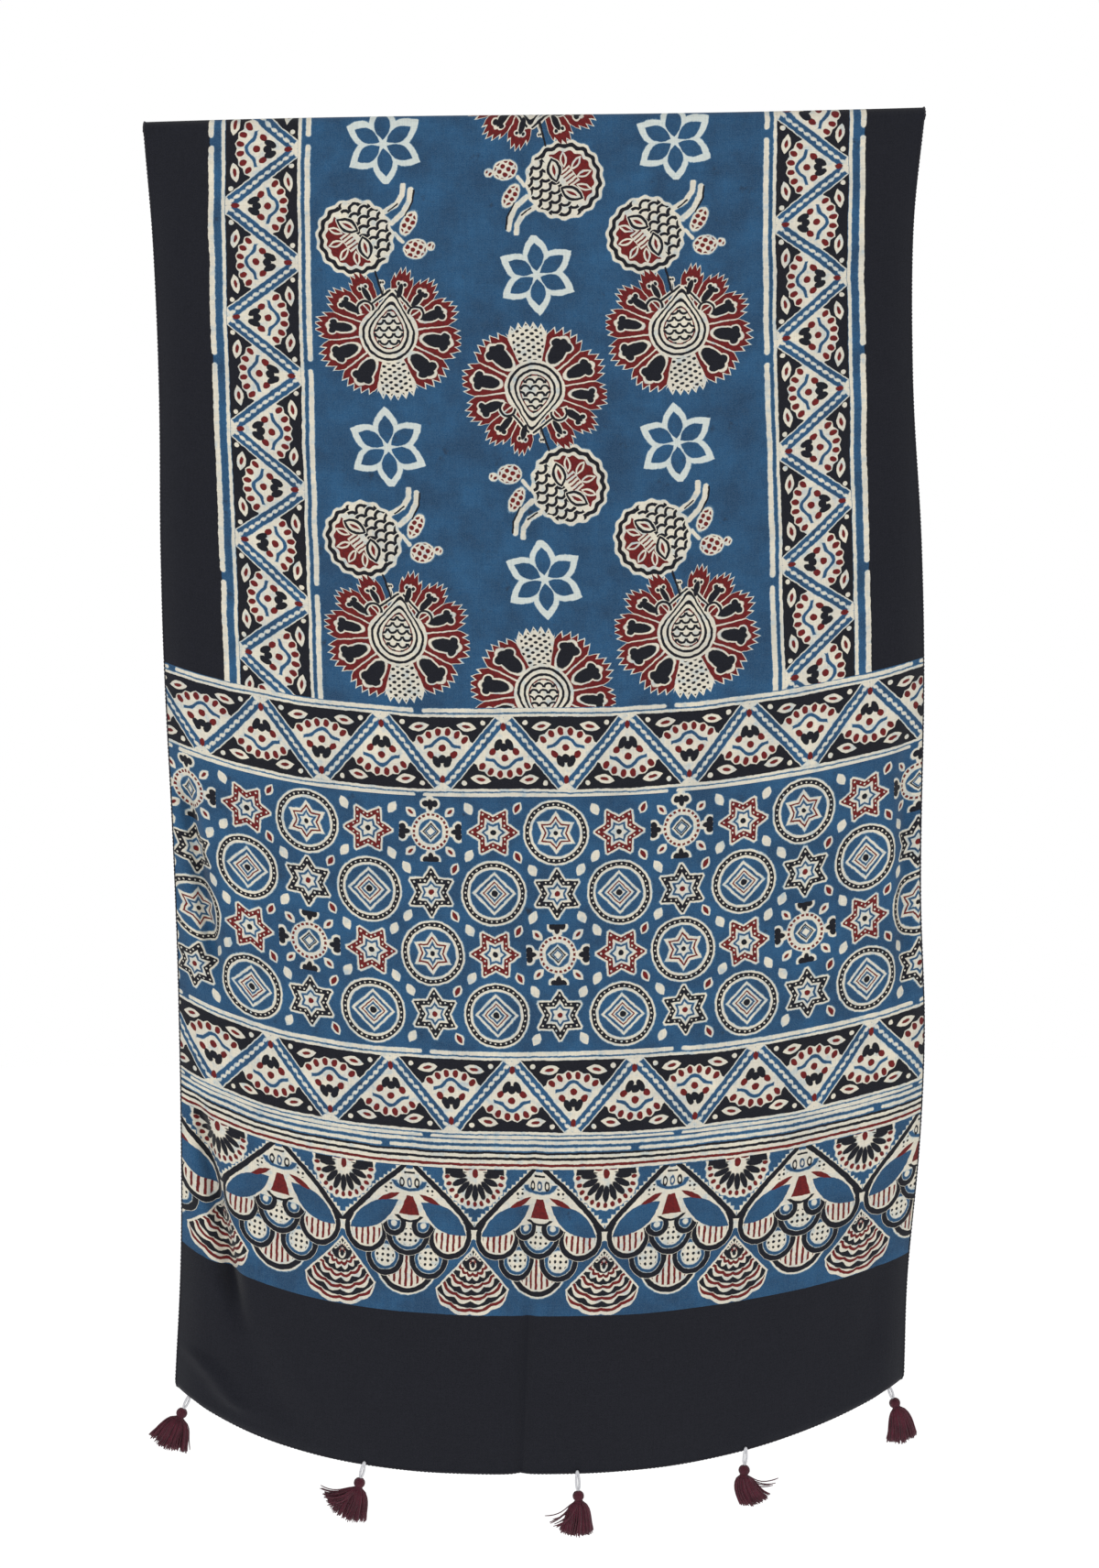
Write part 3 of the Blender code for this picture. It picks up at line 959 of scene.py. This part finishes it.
    # sun: nested diamonds in a dashed ring, four black crowns and four drops round it
    quarter = draw.point(draw.away(x), draw.away(y))
    sun, _, _ = draw.around(local, 0.0, 0.0, 4)
    draw.ink("Cream", draw.line(radius, 11.4, 2.5), draw.scaled(lozenge, 0.71, -5.4))
    draw.ink("Blue", draw.line(draw.times(lozenge, 0.71), 2.7, 0.5))
    draw.ink("Black", draw.line(draw.times(lozenge, 0.71), 3.9, 0.45))
    dashes = draw.line(draw.fold(draw.angle(y, x), math.tau / 44), 0.0, 0.085)
    draw.ink("Red", draw.meet(draw.line(radius, 12.2, 0.9), draw.times(dashes, 12.0)))
    crown = draw.least(draw.oval(sun, 19.4, 0.0, 4.4, 2.2), draw.spot(sun, 20.4, 3.3, 2.5))
    draw.ink("Cream", draw.minus(crown, 1.6))
    draw.ink("Over Black", crown)
    leaf = draw.leaf(quarter, 14.2, 14.2, 4.9, 2.9, math.radians(45))
    draw.ink("Cream", leaf)
    draw.ink("Over Red", draw.oval(quarter, 14.4, 14.4, 2.3, 1.1, math.radians(45)))
    draw.place(draw.minus(1.0, draw.times(isSun, draw.minus(1.0, oddRow))))


archBand = {"pitch": 96.5, "middle": -8.7, "top": 757.0, "squash": 0.955}


def drawStripes(draw, place):
    v = draw.away(draw.dot(place, 0.0, 1.0))
    u = draw.dot(place, 1.0, 0.0)
    lines = ((737.9, 1.1, False), (742.7, 1.2, True), (751.6, 5.8, False))
    drawLines(draw, u, v, lines, (182.0, 6.0, 60.0))
    draw.ink("Black", draw.line(v, 745.9, 0.8), draw.line(v, 749.9, 1.0))
    draw.ink("Red", draw.line(v, 754.4, 1.0))


def drawArches(draw, place):
    v = draw.away(draw.dot(place, 0.0, 1.0))
    u = draw.dot(place, 1.0, 0.0)
    half = archBand["pitch"] / 2
    a = draw.fold(draw.minus(u, archBand["middle"]), half)
    b = draw.times(draw.minus(v, archBand["top"]), archBand["squash"])
    local = draw.point(a, b)
    # fish scales: each higher one covers those below it
    scales = (
        (0.0, 67.0, 22.0),
        (16.2, 64.0, 14.2),
        (31.0, 48.0, 15.8),
        (0.0, 46.5, 16.6),
        (10.6, 41.5, 8.8),
    )
    inside = draw.spot(local, *scales[0])
    striped = 1.0
    blued = 0.0
    for index, (x, y, size) in enumerate(scales[1:]):
        disc = draw.spot(local, x, y, size)
        covers = draw.calc("LESS_THAN", disc, 0.0)
        inside = draw.pick(covers, inside, disc)
        striped = draw.pick(covers, striped, 1.0 if index == 1 else 0.0)
        blued = draw.pick(covers, blued, 0.0 if index == 1 else 1.0)
    body = draw.meet(inside, draw.minus(36.5, b))
    draw.ink("Cream", draw.minus(body, 1.0))
    draw.ink("Black", draw.meet(draw.line(inside, -2.1, 1.85), draw.minus(38.0, b)))
    ringed = draw.scaled(blued, -9.0, draw.plus(draw.line(inside, -5.4, 1.1), 9.0))
    draw.ink("Blue", draw.meet(ringed, draw.minus(39.5, b)))
    lines = draw.line(draw.fold(draw.plus(a, 2.0), 2.1), 2.1, 0.85)
    lines = draw.meet(lines, draw.plus(inside, 5.2), draw.minus(46.0, b))
    draw.ink("Red", draw.scaled(striped, -9.0, draw.plus(lines, 9.0)))
    specks = draw.point(draw.fold(draw.plus(a, 2.0), 2.0), draw.fold(b, 2.0))
    specks = draw.meet(draw.spot(specks, 0.0, 0.0, 1.05), draw.plus(inside, 7.6))
    specks = draw.scaled(blued, -9.0, draw.plus(specks, 9.0))
    draw.ink("Black", draw.meet(specks, draw.minus(44.0, b)))
    draw.place()
    # the arch's roof and what it covers
    slope = draw.dot(local, 0.7071, -0.7071)
    swell = draw.calc("SINE", draw.times(b, math.pi / 46.0))
    roof = draw.scaled(swell, -1.7, draw.plus(slope, -1.6))
    above = draw.minus(b, 44.0)
    lobe = draw.spot(local, 33.0, 45.5, 12.5)
    arch = draw.least(draw.meet(roof, above), draw.meet(lobe, draw.minus(b, 46.0)))
    teeth = draw.fold(draw.dot(local, 0.7071, 0.7071), 1.9)
    draw.ink("Cream", draw.minus(draw.scaled(teeth, 1.0, arch), 4.6))
    draw.ink("Black", draw.meet(draw.line(roof, 0.8, 1.9), draw.minus(b, 43.5)))
    draw.place()
    leaf = draw.leaf(local, 25.5, 36.5, 20.5, 7.8, math.radians(33))
    draw.ink("Over Cream", draw.meet(draw.minus(leaf, 1.4), draw.plus(arch, 1.0)))
    draw.ink("Over Blue", leaf)
    draw.ink("Over Red", draw.leaf(local, 15.0, 23.4, 8.6, 1.9, math.radians(24)))
    wedge = draw.meet(draw.scaled(b, -0.36, draw.plus(a, 5.2)), draw.line(b, 28.0, 6.8))
    draw.ink("Over Red", wedge)
    dots = draw.point(draw.fold(a, 1.7), draw.fold(b, 1.7))
    corner = draw.oval(local, 14.6, 16.8, 4.6, 2.6, math.radians(38))
    draw.ink("Over Black", draw.meet(draw.spot(dots, 0.0, 0.0, 0.95), corner))
    cap = draw.oval(local, 0.0, 11.2, 12.0, 6.4)
    lip = draw.meet(draw.line(cap, -0.6, 1.0), draw.minus(11.0, b))
    draw.ink("Blue", lip)
    draw.ink("Over Blue", draw.meet(draw.line(a, 0.0, 2.6), draw.line(b, 1.4, 1.1)))
    draw.ink("Over Black", draw.meet(draw.line(a, 0.0, 4.0), draw.line(b, 5.2, 0.7)))
    for x, ink in ((0.0, "Over Blue"), (5.6, "Over Black")):
        drop = draw.oval(local, x, 12.0, 3.0, 1.7, math.radians(90))
        draw.ink(ink, draw.line(drop, -0.2, 0.5))
    arc = draw.oval(local, 0.0, 33.0, 10.0, 6.2)
    draw.ink("Over Black", draw.meet(draw.line(arc, 0.0, 0.8), draw.minus(35.6, b)))
    draw.place()
    # half rosette between the arches
    far = draw.distance(local, half, 5.0)
    turn = draw.angle(draw.minus(half, a), draw.minus(b, 5.0))
    rimTurn = draw.fold(turn, math.radians(7.2))
    scallop = draw.scaled(rimTurn, 9.0, far)
    below = draw.minus(-1.0, b)
    draw.ink("Cream", draw.meet(draw.minus(scallop, 24.0), below))
    rim, _, _ = draw.swung(far, rimTurn)
    low = draw.minus(5.5, b)
    draw.ink("Red", draw.meet(draw.oval(rim, 20.2, 0.0, 2.0, 1.5), draw.minus(low, 2.5)))
    petalTurn = draw.fold(turn, math.radians(11.2))
    petal, _, _ = draw.swung(far, petalTurn)
    petals = draw.meet(draw.oval(petal, 12.4, 0.0, 6.0, 2.25), draw.minus(low, 3.0))
    draw.ink("Black", petals)
    draw.ink("Red", draw.oval(local, half, 3.6, 2.2, 3.4), draw.oval(local, half - 5.4, 0.6, 3.0, 1.0))
    block = draw.meet(draw.line(a, half - 15.4, 6.6), draw.line(b, 2.0, 2.6))
    draw.ink("Black", draw.meet(block, draw.minus(far, 21.8)))
    draw.place()
    # shell hanging under it
    tip = draw.dot(local, -0.735, -0.678, 0.735 * half + 0.678 * 55.0)
    deep = draw.distance(local, half, 64.0)
    turn = draw.angle(draw.minus(half, a), draw.minus(b, 64.0))
    wave = draw.away(draw.calc("SINE", draw.times(turn, 7.0)))
    deep = draw.scaled(wave, -1.5, deep)
    rounded = draw.minus(draw.distance(local, half, 77.5), 27.0)
    shell = draw.meet(tip, draw.minus(deep, 37.0), draw.scaled(wave, -1.2, rounded))
    draw.ink("Over Cream", shell)
    rings = draw.calc("WRAP", draw.minus(36.0, deep), 8.2, 0.0)
    inner = draw.plus(shell, 1.3)
    draw.ink("Over Red", draw.meet(draw.line(rings, 2.4, 1.1), inner))
    bones = draw.scaled(draw.calc("COSINE", draw.times(turn, 14.0)), 0.6, 1.1)
    draw.ink("Over Black", draw.meet(draw.minus(draw.line(rings, 6.0, 0.4), bones), inner))
    gem = draw.lozenge(local, half, 66.5, 7.6, 5.4)
    draw.ink("Over Black", gem)
    draw.place()
    # a clean ring inside the shell's gem
    ring = draw.line(draw.oval(local, half, 67.0, 2.0, 3.0), 0.0, 0.55)
    draw.inks["Over Black"] = draw.less(draw.inks["Over Black"], ring)


def drawPlain(draw, place):
    v = draw.away(draw.dot(place, 0.0, 1.0))
    draw.ink("Black Ground", draw.minus(863.5, v))


def regionOf(middle):
    # which print each face of the sheet carries
    across, down = middle[:, 0], np.abs(middle[:, 1])
    left, right = sheetGrid["field"]
    region = np.where((across > left) & (across < right), 1, 0)
    for line, number in zip(sheetGrid["lines"], (2, 3, 2, 4, 5, 6)):
        region = np.where(down > line, number, region)
    return region


hemThread = {"radius": 0.00062, "scallop": 0.00022, "stitch": 0.0030, "spacing": 0.0014, "sides": 6}


def tube(places, sides, radii, closed):
    # a cord's skin round a line of places; radii is one number for each place
    places = np.asarray(places)
    if closed:
        before, after = np.roll(places, 1, axis=0), np.roll(places, -1, axis=0)
    else:
        before = np.concatenate([places[:1], places[:-1]])
        after = np.concatenate([places[1:], places[-1:]])
    way = after - before
    way /= np.linalg.norm(way, axis=1)[:, None]
    up = np.tile((0.0, 1.0, 0.0), (len(places), 1))
    up -= (up * way).sum(axis=1)[:, None] * way
    up /= np.maximum(np.linalg.norm(up, axis=1), 0.001)[:, None]
    side = np.cross(way, up)
    turns = np.arange(sides) * math.tau / sides
    ring = np.cos(turns)[None, :, None] * side[:, None, :] + np.sin(turns)[None, :, None] * up[:, None, :]
    verts = places[:, None, :] + ring * np.asarray(radii)[:, None, None]
    faces = []
    last = len(places) if closed else len(places) - 1
    for row in range(last):
        low, high = row * sides, (row + 1) % len(places) * sides
        for corner in range(sides):
            after = (corner + 1) % sides
            faces.append((low + corner, low + after, high + after, high + corner))
    if not closed:
        faces.append(tuple(reversed(range(sides))))
        faces.append(tuple(last * sides + corner for corner in range(sides)))
    return verts.reshape(-1, 3).tolist(), faces


def meshPiece(name, parts, material):
    verts, faces = [], []
    for partVerts, partFaces in parts:
        start = len(verts)
        verts += partVerts
        faces += [tuple(start + corner for corner in face) for face in partFaces]
    mesh = bpy.data.meshes.new(name)
    mesh.from_pydata(verts, [], faces)
    mesh.materials.append(material)
    mesh.shade_smooth()
    piece = bpy.data.objects.new(name, mesh)
    bpy.context.collection.objects.link(piece)
    bpy.ops.object.select_all(action="DESELECT")
    bpy.context.view_layer.objects.active = piece
    piece.select_set(True)
    bpy.ops.object.mode_set(mode="EDIT")
    bpy.ops.mesh.select_all(action="SELECT")
    bpy.ops.mesh.normals_make_consistent(inside=False)
    bpy.ops.object.mode_set(mode="OBJECT")
    piece.select_set(False)
    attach(piece, "root")
    return piece


def threadMaterial(name, colour, light, twist, rough):
    # twisted thread: fine slanting ridges and uneven dye
    material = bpy.data.materials.new(name)
    material.use_nodes = True
    tree = material.node_tree
    shader = tree.nodes["Principled BSDF"]
    draw = Drawing(tree)
    place = tree.nodes.new("ShaderNodeTexCoord").outputs["Object"]
    slant = draw.vector("DOT_PRODUCT", place, twist)
    ridge = draw.calc("SINE", slant)
    mottle = noise(draw, place, 900.0, 3.0, 0.6)
    patchy = noise(draw, place, 140.0, 2.0, 0.5)
    mixed = draw.scaled(mottle, 1.4, draw.scaled(patchy, 1.2, -0.8), clamp=True)
    colour = mixColour(draw, mixed, (*colour, 1.0), (*light, 1.0))
    tree.links.new(colour, shader.inputs["Base Color"])
    bump = tree.nodes.new("ShaderNodeBump")
    bump.inputs["Strength"].default_value = 0.5
    bump.inputs["Distance"].default_value = 0.0002
    tree.links.new(draw.scaled(ridge, 0.3, mottle), bump.inputs["Height"])
    tree.links.new(bump.outputs["Normal"], shader.inputs["Normal"])
    shader.inputs["Roughness"].default_value = rough
    shader.inputs["Sheen Weight"].default_value = 0.25
    shader.inputs["Specular IOR Level"].default_value = 0.2
    return material


def buildHem(rows):
    # an overlocked edge runs up both selvedges and along both ends
    line = [rows[0, column] for column in range(rows.shape[1] - 1)]
    line += [rows[row, -1] for row in range(rows.shape[0] - 1)]
    line += [rows[-1, column] for column in range(rows.shape[1] - 1, 0, -1)]
    line += [rows[row, 0] for row in range(rows.shape[0] - 1, 0, -1)]
    line = np.array(line + [line[0]])
    steps = np.concatenate([[0.0], np.cumsum(np.linalg.norm(np.diff(line, axis=0), axis=1))])
    count = int(steps[-1] / hemThread["spacing"])
    at = np.linspace(0.0, steps[-1], count + 1)[:-1]
    line = np.stack([np.interp(at, steps, line[:, axis]) for axis in range(3)], axis=1)
    radii = hemThread["radius"] + hemThread["scallop"] * np.sin(at * math.tau / hemThread["stitch"])
    dark, light = (0.010, 0.010, 0.014), (0.024, 0.023, 0.032)
    black = threadMaterial("hem thread", dark, light, (2600.0, 900.0, 2600.0), 0.85)
    hem = meshPiece("rolled_hem", [tube(line, hemThread["sides"], radii, True)], black)
    return hem


tasselColumns = ("across", "loopLength", "loopLean", "skirtLean", "length", "tipHalfWidth", "stray", "seed")
tassels = (
    (-0.985, 0.0100, -25.0, -25.0, 0.0320, 0.0170, 0.0, 3),
    (-0.484, 0.0095, -14.0, -18.0, 0.0325, 0.0135, 0.55, 5),
    (0.104, 0.0120, 2.0, -3.0, 0.0330, 0.0122, 0.05, 8),
    (0.569, 0.0105, -4.0, 16.0, 0.0300, 0.0118, 0.03, 13),
    (0.985, 0.0085, 20.0, 12.0, 0.0335, 0.0122, 0.0, 21),
)
yarn = {
    "strands": 300,
    "strandRadius": 0.00036,
    "strandPoints": 9,
    "strandSides": 5,
    "headHeight": 0.0078,
    "headRadius": 0.0039,
    "neckRadius": 0.0024,
    "wraps": 7,
    "wrapRadius": 0.00042,
    "neckWrapRadius": 0.00036,
    "shoulder": 0.34,  # share of the skirt's half width reached just under the neck
    "loopRadius": 0.00085,
    "loopHalfWidth": 0.0017,
    "rise": 0.0026,  # how far above the hem the loop goes through the cloth
    "strayLean": 36.0,
}


def swing(origin, lean, across, down, depth=0.0):
    x = math.sin(lean) * down + math.cos(lean) * across
    z = -math.cos(lean) * down + math.sin(lean) * across
    return origin + Vector((x, depth, z))


def ballAt(share):
    # how round the head is at a share of its height
    return math.sqrt(max(0.0, 1.0 - (2.0 * share / 0.92 - 1.0) ** 2))


def windings(head, lean, steps, thick):
    # steps: the turn, how far down and how far out
    wound = []
    for turn, down, out in steps:
        wound.append(swing(head, lean, math.cos(turn) * out, down, math.sin(turn) * out))
    return tube(wound, 5, [thick] * len(wound), False)


def strandPlaces(top, tassel, turn, spot, reach, bundle):
    # from the neck, out over the shoulder and down to the tips
    places = []
    leanTop = math.radians(tassel["loopLean"])
    side = -1 if tassel["skirtLean"] < 0 else 1
    leanEnd = math.radians(tassel["skirtLean"] + bundle * yarn["strayLean"] * side)
    skirt = tassel["length"] - yarn["headHeight"]
    for step in range(yarn["strandPoints"]):
        share = step / (yarn["strandPoints"] - 1)
        wide = yarn["shoulder"] * (1 - math.exp(-share * 9.0)) + (1 - yarn["shoulder"]) * share
        half = yarn["neckRadius"] * (1 - share) + tassel["tipHalfWidth"] * wide
        deep = yarn["neckRadius"] * (1 - share) + tassel["tipHalfWidth"] * 0.45 * wide
        lean = leanTop + (leanEnd - leanTop) * share
        wobble = 0.00035 * math.sin(share * 7.0 + turn * 5.0) * share
        across = math.cos(turn) * spot * half + wobble
        depth = math.sin(turn) * spot * deep + wobble
        down = yarn["headHeight"] * 0.93 + skirt * share * reach - abs(across) * share * 0.12
        places.append(swing(top, lean, across, down, depth))
    return places


def hangTassel(number, tassel, thread, wool):
    chance = random.Random(tassel["seed"])
    hemPlace = Vector(frontRow(np.array([tassel["across"]]), hanging["frontDrop"])[0])
    lean = math.radians(tassel["loopLean"])
    start = hemPlace + Vector((0.0, 0.0, -hanging["thickness"] / 2 - 0.0003))
    # the loop goes through the cloth just above the hem: one strand in front, one behind
    long = tassel["loopLength"]
    places = []
    top = swing(start, lean, 0.0, -yarn["rise"])
    for step in range(40):
        turn = math.tau * step / 40
        reach = 0.5 - 0.5 * math.cos(turn)
        across = yarn["loopHalfWidth"] * 0.85 * math.sin(turn) * (0.55 + 0.45 * reach)
        depth = 0.0007 * math.sin(turn + 0.5) - 0.0020 * (1.0 - reach) ** 2
        places.append(swing(top, lean, across, (long + yarn["rise"] - 0.0004) * reach, depth))
    loop = meshPiece(f"loop_{number}", [tube(places, 8, [yarn["loopRadius"]] * 40, True)], thread)
    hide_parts(f"tassel_loop_{number}")
    # head: a round core under close windings of the same yarn
    head = swing(start, lean, 0.0, long + 0.0003)
    core, radii = [], []
    for step in range(15):
        share = step / 14
        core.append(swing(head, lean, 0.0, yarn["headHeight"] * share))
        full = 0.97 if share < 0.8 else 1.0
        radii.append(max(0.0006, yarn["headRadius"] * ballAt(min(share, 0.86)) * full))
    parts = [tube(core, 20, radii, False)]
    steps = []
    for step in range(yarn["wraps"] * 16):
        share = step / (yarn["wraps"] * 16 - 1)
        level = 0.08 + 0.78 * share
        out = yarn["headRadius"] * ballAt(level)
        steps.append((share * yarn["wraps"] * math.tau, yarn["headHeight"] * level, out))
    parts.append(windings(head, lean, steps, yarn["wrapRadius"]))
    out = yarn["neckRadius"] + 0.0003
    steps = []
    for step in range(72):
        level = 0.90 + 0.13 * step / 72
        steps.append((step * math.tau / 18, yarn["headHeight"] * level, out))
    parts.append(windings(head, lean, steps, yarn["neckWrapRadius"]))
    # skirt
    side = -1 if tassel["skirtLean"] < 0 else 1
    for strand in range(yarn["strands"]):
        turn = chance.uniform(0.0, math.tau)
        spot = math.sqrt(chance.uniform(0.05, 1.0))
        reach = chance.uniform(0.93, 1.03) * (1.0 - 0.05 * abs(math.cos(turn)) * spot)
        outer = math.cos(turn) * side > 0.1
        bundle = chance.uniform(0.55, 1.0) if outer and chance.random() < tassel["stray"] else 0.0
        places = strandPlaces(head, tassel, turn, spot, reach * (1.0 - 0.10 * bundle), bundle)
        size = yarn["strandRadius"]
        radii = [size * 1.15] * (len(places) - 1) + [size * 0.8]
        parts.append(tube(places, yarn["strandSides"], radii, False))
    piece = meshPiece(f"tassel_yarn_{number}", parts, wool)
    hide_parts(f"tassel_{number}")
    return [loop, piece]


print("sheet")
cloth, middle, sheetRows = buildSheet()
groups = buildDyeGroup(), buildWeaveGroup()
prints = (
    ("side border print", drawSideBorder),
    ("field print", drawField),
    ("cross border print", drawAcrossBorder),
    ("star print", drawStarField),
    ("stripe print", drawStripes),
    ("arch print", drawArches),
    ("plain end", drawPlain),
)
for name, drawPrint in prints:
    cloth.data.materials.append(clothMaterial(name, drawPrint, groups))
cloth.data.polygons.foreach_set("material_index", regionOf(middle).astype(np.int32))
cloth.data.update()
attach(cloth, "root")
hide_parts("cloth")

print("hem, loops and tassels")
hem = buildHem(sheetRows)
trimmings = [hem]
# the loops' thread is white; these greys are painted shade on it, so the loops read as shaded white strands
dark, light = (0.50, 0.50, 0.53), (0.78, 0.78, 0.80)
loopThreadShadedGrey = threadMaterial("loop thread painted grey shade", dark, light, (2400.0, 0.0, 5200.0), 0.6)
dark, light = (0.040, 0.005, 0.012), (0.120, 0.014, 0.032)
tasselYarn = threadMaterial("tassel yarn", dark, light, (5200.0, 0.0, 2200.0), 0.8)
for number, row in enumerate(tassels, start=1):
    tassel = dict(zip(tasselColumns, row))
    trimmings += hangTassel(number, tassel, loopThreadShadedGrey, tasselYarn)

print("stage")
bpy.ops.object.select_all(action="DESELECT")
view = {"place": (0.0080, -1.9, -0.3822), "pitch": 87.0, "roll": 0.45, "lens": 59.95}
bpy.ops.object.camera_add(
    location=view["place"], rotation=(math.radians(view["pitch"]), math.radians(view["roll"]), 0.0)
)
camera = bpy.context.object
camera.data.lens = view["lens"]
bpy.context.scene.camera = camera


def stageMaterial(name, colour, glow):
    material = bpy.data.materials.new(name)
    material.use_nodes = True
    shader = material.node_tree.nodes["Principled BSDF"]
    shader.inputs["Base Color"].default_value = (*colour, 1.0)
    shader.inputs["Roughness"].default_value = 1.0
    shader.inputs["Emission Color"].default_value = (1.0, 1.0, 1.0, 1.0)
    shader.inputs["Emission Strength"].default_value = glow
    return material


pale = stageMaterial("pale stage", (0.90, 0.90, 0.90), 0.62)
bpy.ops.mesh.primitive_plane_add(size=12.0, location=(0.0, 0.0, -1.65))
floor = bpy.context.object
floor.data.materials.append(pale)

lights = (
    ("AREA", (-1.6, -2.6, 1.2), (62.0, 0.0, -32.0), 2.2, 30.0),
    ("AREA", (1.7, -2.5, 0.4), (78.0, 0.0, 34.0), 2.0, 12.0),
    ("AREA", (0.0, -0.4, 2.4), (8.0, 0.0, 0.0), 2.0, 8.0),
)
for kind, place, turn, size, power in lights:
    bpy.ops.object.light_add(type=kind, location=place, rotation=[math.radians(value) for value in turn])
    bpy.context.object.data.size = size
    bpy.context.object.data.energy = power
world = bpy.data.worlds.new("soft room")
world.use_nodes = True
world.node_tree.nodes["Background"].inputs["Color"].default_value = (1.0, 1.0, 1.0, 1.0)
room = Drawing(world.node_tree)
seen = world.node_tree.nodes.new("ShaderNodeLightPath").outputs["Is Camera Ray"]
strength = room.pick(seen, 0.42, 1.0)  # a plain white backdrop in view, softer as light
world.node_tree.links.new(strength, world.node_tree.nodes["Background"].inputs["Strength"])
bpy.context.scene.world = world
bpy.context.scene.view_settings.view_transform = "Standard"
